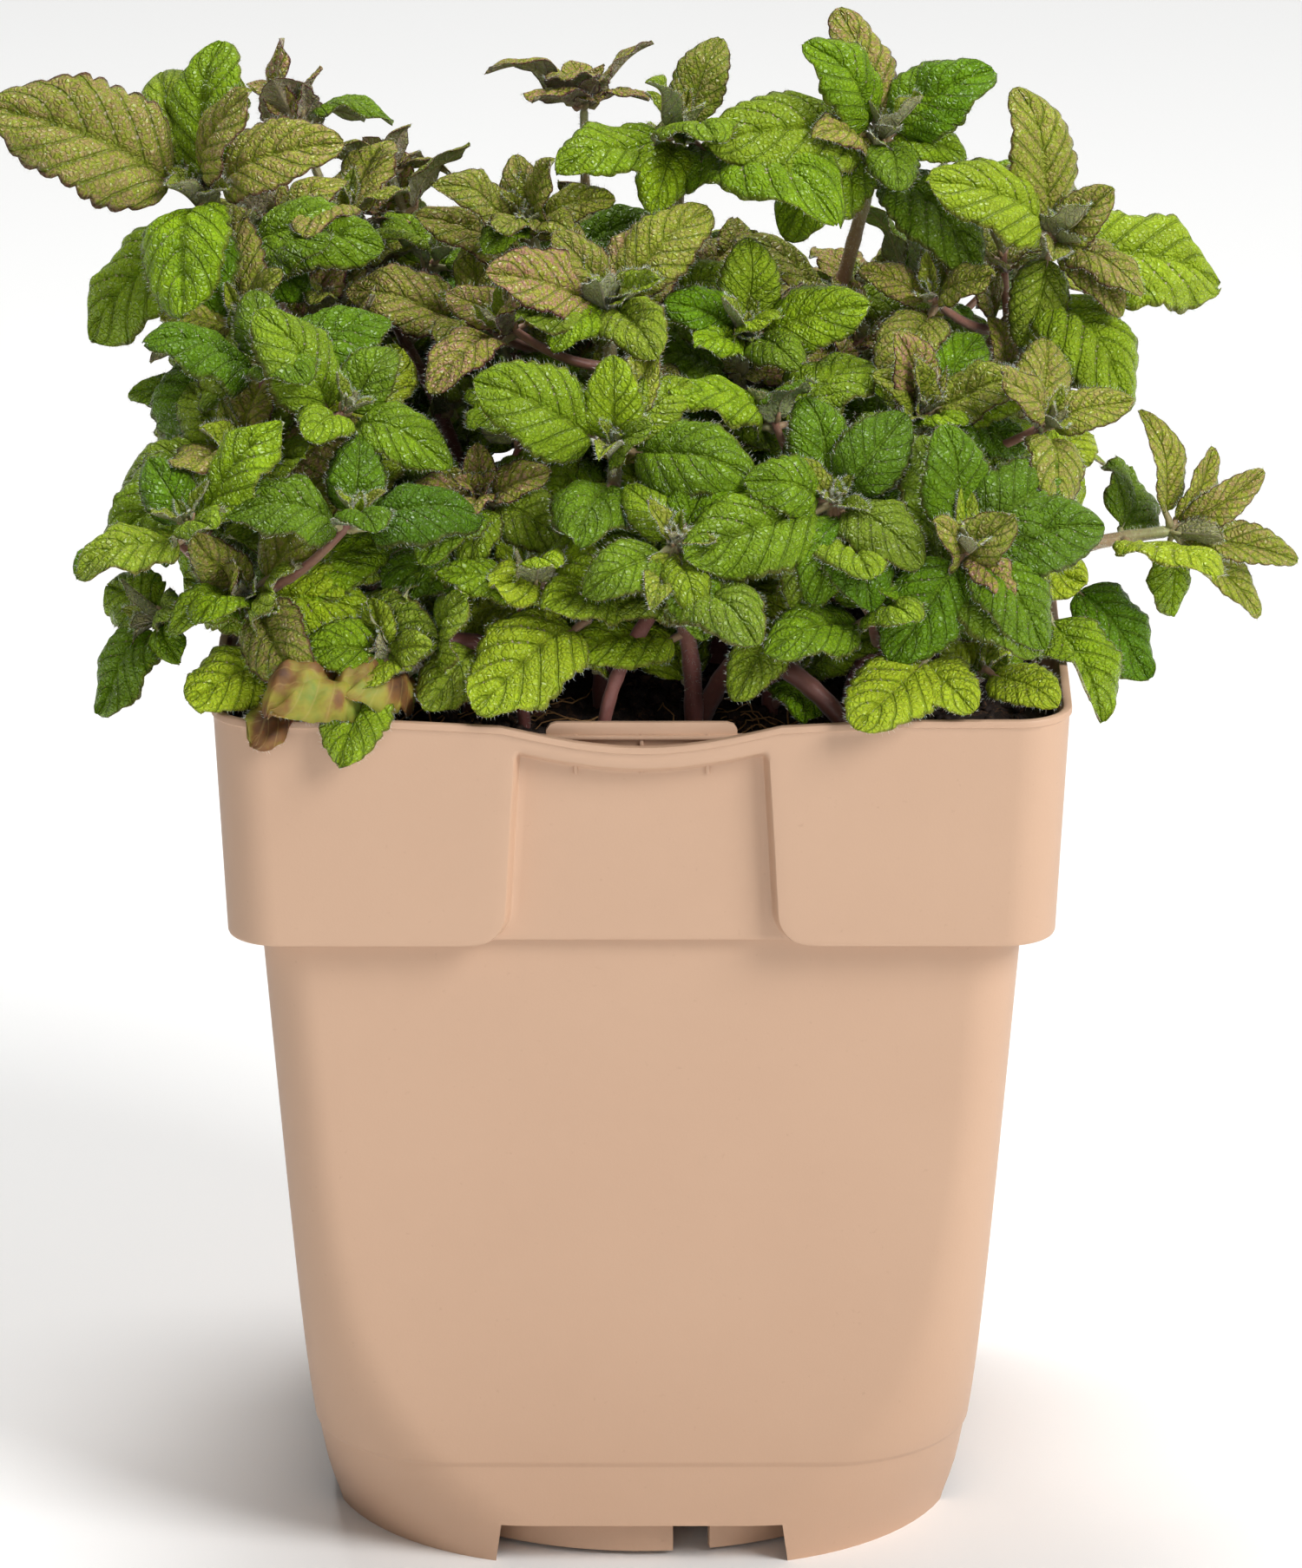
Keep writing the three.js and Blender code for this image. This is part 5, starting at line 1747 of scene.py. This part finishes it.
# %% Branches and their leaves
SHOOT_PAIRS = ((17.5, 12), (12.5, 30), (6.5, 55), (3.6, 72))  # length and tilt
for number, rows in branches.items():
    stem = stems[number]
    for nearest, end in rows:
        start = stem.path[nearest]
        share = np.linspace(0, 1, 9)[:, None]
        bent = start + (end - start) * 0.5 + np.array([0, 0, -0.18 * np.linalg.norm(end - start)])
        path = (1 - share) ** 2 * start + 2 * share * (1 - share) * bent + share**2 * end
        points, walls, ends = tube(path, np.linspace(0.85, 0.6, 9), 8, 0.06)
        ripe = np.tile([[0.62, 0.0]], (len(points), 1))
        foliages[number].blades.add(points, [(walls, 2), (ends, 2)], ripe)
        open_side = -0.35 if end[1] < 10 else 0.3
        axis = unit(unit(end - bent) + np.array([0.1 * np.sign(end[0]), open_side, 0.9]))
        turn = rng.uniform(0, np.pi)
        kind_name = rule_kind(end, rng)
        face = upper_face(number, axis, end, 0.3)
        for pair, (size, rise) in enumerate(SHOOT_PAIRS):
            for sign in (-1, 1):
                tilt = math.radians(rise + rng.normal(0, 9))
                across = sideways(axis, turn + pair * np.pi / 2) * sign
                outward = unit(math.cos(tilt) * across + math.sin(tilt) * axis)
                point = end + outward * size * rng.uniform(0.85, 1.2)
                if pair < 2 and not fits(point):
                    continue
                chosen = kind_name if pair < 2 else "young"
                turned_to = face if pair < 2 else axis - 0.6 * sign * across
                add_leaf(foliages[number], end - axis * (2.5 - pair), point, turned_to, chosen, rng)
print("leaves in all:", sum(f.leaves for f in foliages.values()))

# %% [markdown]
# ### Old leaves at the rim
# Along the front the oldest leaves lie on the soil and hang over the rim: yellow-green ones that are
# still soft, and a few withered ones, ochre and brown. They are listed one by one, because each has
# to lie in its own place on the rim, with the place where its stalk starts as well.

# %% Old leaves at the rim
OLD_LEAVES = [
    # shoot, kind, point of the leaf, where its stalk starts
    (15, "yellow", (-26, -66, 11), (-8, -52, 20)), (15, "yellow", (-23, -57, 27), (-12, -46, 20)),
    (15, "bright", (-14, -60, 26), (-2, -48, 22)), (7, "dry", (-46, -67, 13), (-34, -52, 12)),
    (7, "dry", (-56, -70, 11), (-40, -56, 14)), (5, "yellow", (-69, -62, 11), (-54, -52, 14)),
    (7, "green", (-46, -70, 3), (-40, -60, 14)), (7, "bright", (-33, -63, 10), (-24, -52, 16)),
    (16, "yellow", (33, -70, 8), (44, -56, 16)), (16, "yellow", (50, -66, 10), (40, -54, 14)),
    (17, "yellow", (63, -61, 9), (52, -52, 12)), (21, "green", (71, -36, -2), (62, -28, 14)),
    (21, "green", (79, -26, 2), (66, -20, 16)), (14, "dry", (-59, -68, 5), (-50, -58, 12)),
    (16, "green", (14, -62, 12), (22, -50, 18)), (13, "yellow", (-12, -58, 17), (-6, -48, 10)),
]  # fmt: skip
for number, kind_name, place, foot in OLD_LEAVES:
    face = unit((0.05, -0.55, 0.9))
    withered = kind_name == "dry"
    add_leaf(foliages[number], lifted(foot), lifted(place), face, kind_name, rng, withered)
print("old leaves:", len(OLD_LEAVES))

# %% [markdown]
# ### Old stems at the rim
# Between the old leaves a few thick red-brown stems lie over the soil towards the rim, bare because
# their leaves have dropped. They are tubes like the branches, so they share their piles.

# %% Old stems at the rim
OLD_STEMS = [
    # shoot, thickness, ripeness, the path from the soil outwards
    (5, 1.30, 0.45, [
        (-16, -38, 0), (-24, -47, 14), (-34, -53, 15), (-43, -57, 11), (-50, -58, 4), (-53, -58, -3),
    ]),
    (15, 1.15, 0.50, [(8, -42, 28), (3, -48, 22), (-2, -53, 15), (-5, -56, 8), (-7, -57, -3)]),
    (16, 1.45, 0.15, [
        (8, -40, -2), (14, -47, 11), (20, -52, 13), (27, -56, 9), (32, -58, 3), (34, -58, -4),
    ]),
]  # fmt: skip
for number, thick, ripeness, corners in OLD_STEMS:
    path = smooth_path(lifted(corners))
    bumps = 1 + 0.1 * np.cos(np.arange(len(path)) * 0.9) ** 6
    points, walls, ends = tube(path, thick * np.linspace(1.1, 0.85, len(path)) * bumps, 10, 0.07)
    ripe = np.tile([[ripeness, 0.0]], (len(points), 1))
    foliages[number].blades.add(points, [(walls, 2), (ends, 2)], ripe)
print("old stems:", len(OLD_STEMS))

# %% [markdown]
# ## The stems
# Each stem is a tapered, squarish tube along the curve of its CAD solid, a little swollen where a
# pair of leaves springs, and covered in short down that thins out on the old wood.

# %% Stems and their down
HAIRS_PER_MM = 14
for number, stem in stems.items():
    pile = Pile()
    backs = stem.length - stem.along
    swollen = 1 + 0.13 * np.cos(backs * 2 * np.pi / 13) ** 8
    radii = np.array([stem.radius(back) for back in backs]) * swollen
    radii[-1] *= 0.55
    points, walls, ends = tube(stem.path, radii, 12, 0.07)
    ripe = np.repeat(stem.along / stem.length, 12)
    places = np.stack([np.concatenate([ripe, [0, 1]]), np.zeros(len(points))], -1)
    pile.add(points, [(walls, 0), (ends, 0)], places)
    pile.make(f"fine_stem_{number:02d}", [STEM_SKIN], [f"stem_{number:02d}"], "stem_skin")
    hairs = int(HAIRS_PER_MM * stem.length)
    share = rng.uniform(0.25, 1, hairs) ** 0.8
    spots = share * (len(stem.path) - 1)
    step = spots.astype(int)
    part = (spots - step)[:, None]
    step_on = np.minimum(step + 1, len(stem.path) - 1)
    centre = stem.path[step] * (1 - part) + stem.path[step_on] * part
    heading = stem.headings[step]
    out = rng.normal(size=(hairs, 3))
    out = unit(out - heading * (out * heading).sum(1, keepdims=True))
    add_hairs(
        foliages[number].down,
        centre + out * radii[step][:, None] * 0.95,
        out + 0.3 * rng.normal(size=(hairs, 3)),
        rng.uniform(0.3, 0.9, hairs),
    )
print("fine stems:", len(stems))

# %% [markdown]
# ### One piece of foliage for each shoot
# All blades of a shoot become one mesh and all its hairs another. The blades are shown in place of
# the shoot's CAD leaves. A few dozen pieces are far quicker to handle than a thousand leaves, and
# each can still be hidden or picked on its own.

# %% Foliage and down as pieces
faces = 0
for number, foliage in foliages.items():
    leaves = foliage.blades.make(
        f"foliage_{number:02d}", [*LEAF_FINISHES, WITHERED], frame_leaf_nodes[number], "leaf_skin"
    )
    down = foliage.down.make(f"down_{number:02d}", [DOWN], material_slot="leaf_skin")
    faces += len(leaves.data.polygons) + len(down.data.polygons)
print("foliage and down faces:", faces)

# %% [markdown]
# ## Studio
# The part stands on a plain floor of white paper, wide enough to fill the view from the front and
# from above. A real sheet is matt and has a fine tooth, which noise on its colour stands for.

# %% Floor
def matt_paper():
    """Seamless studio paper: white, dull, with a fine 0.3 mm tooth."""
    material, tree, shader = new_material("matt_paper")
    place = add_node(tree, "TexCoord").outputs["Object"]
    tooth = add_node(
        tree, "TexNoise", None, {"Vector": place, "Scale": 1 / (0.3 * MM), "Detail": 1.0}
    ).outputs[0]
    colours = {0: tooth, 6: linear("#f7f7f6"), 7: linear("#fbfbfa")}
    colour = add_node(tree, "Mix", COLOURS, colours).outputs[2]
    tree.links.new(colour, shader.inputs["Base Color"])
    shader.inputs["Roughness"].default_value = 0.9
    return material


floor_mesh = bpy.data.meshes.new("studio_floor")
floor_mesh.from_pydata([(-9, -9, 0), (9, -9, 0), (9, 9, 0), (-9, 9, 0)], [], [(0, 1, 2, 3)])
floor = bpy.data.objects.new("studio_floor", floor_mesh)
bpy.context.scene.collection.objects.link(floor)
floor_mesh.materials.append(matt_paper())
print("floor:", [round(side, 1) for side in floor.dimensions], "m")

# %% [markdown]
# ### Light
# Large soft lights give soft shadows. The strongest stands to the right, which is why the left side
# of the pot is darker, and the room itself is brighter on that side too. The camera sees the world
# as an even near-white, whatever light it gives, which a mix with the Light Path node's camera ray
# does.

# %% Light
scene = bpy.context.scene
scene.view_settings.view_transform = "Standard"
world = bpy.data.worlds.new("studio")
world.use_nodes = True
sky = world.node_tree
background = sky.nodes["Background"]
direction = add_node(sky, "TexCoord").outputs["Generated"]
sideways_share = add_node(sky, "SeparateXYZ", None, {0: direction}).outputs[0]
room = add_node(
    sky, "MapRange", SMOOTH, {0: sideways_share, 1: -0.9, 2: 0.7, 3: 0.05, 4: 0.42}
).outputs[0]
seen = add_node(sky, "LightPath").outputs["Is Camera Ray"]
strength = add_node(sky, "Mix", {"data_type": "FLOAT"}, {0: seen, 2: room, 3: 0.92}).outputs[0]
sky.links.new(strength, background.inputs["Strength"])
background.inputs["Color"].default_value = (1, 1, 1, 1)
scene.world = world


def softbox(name, place, size, watts):
    """A square area light that looks at the middle of the plant."""
    data = bpy.data.lights.new(name, "AREA")
    data.size, data.energy = size, watts
    light = bpy.data.objects.new(name, data)
    light.location = place
    light.rotation_euler = (Vector((0, 0, 0.15)) - Vector(place)).to_track_quat("-Z", "Y").to_euler()
    scene.collection.objects.link(light)


softbox("key", (1.15, -0.95, 1.25), 0.75, 27)
softbox("fill", (-0.4, -1.9, 0.6), 0.9, 4)
softbox("top", (-0.1, 0.35, 1.6), 0.6, 17)

# %% [markdown]
# ### Camera
# The camera stands 1.6 m in front and looks down by 19.25 degrees. The long lens keeps the view
# narrow, so the sides of the pot converge only a little, as they do for someone who looks from
# across a table.

# %% Camera
camera_data = bpy.data.cameras.new("camera")
camera_data.lens, camera_data.sensor_width = 246.8, 36
camera = bpy.data.objects.new("camera", camera_data)
camera.location = (0, -1.6, 0.6713)
camera.rotation_euler = (math.radians(70.75), 0, math.radians(-0.053))
scene.collection.objects.link(camera)
scene.camera = camera
print("camera:", round(camera_data.lens, 1), "mm lens at", [round(v, 3) for v in camera.location])
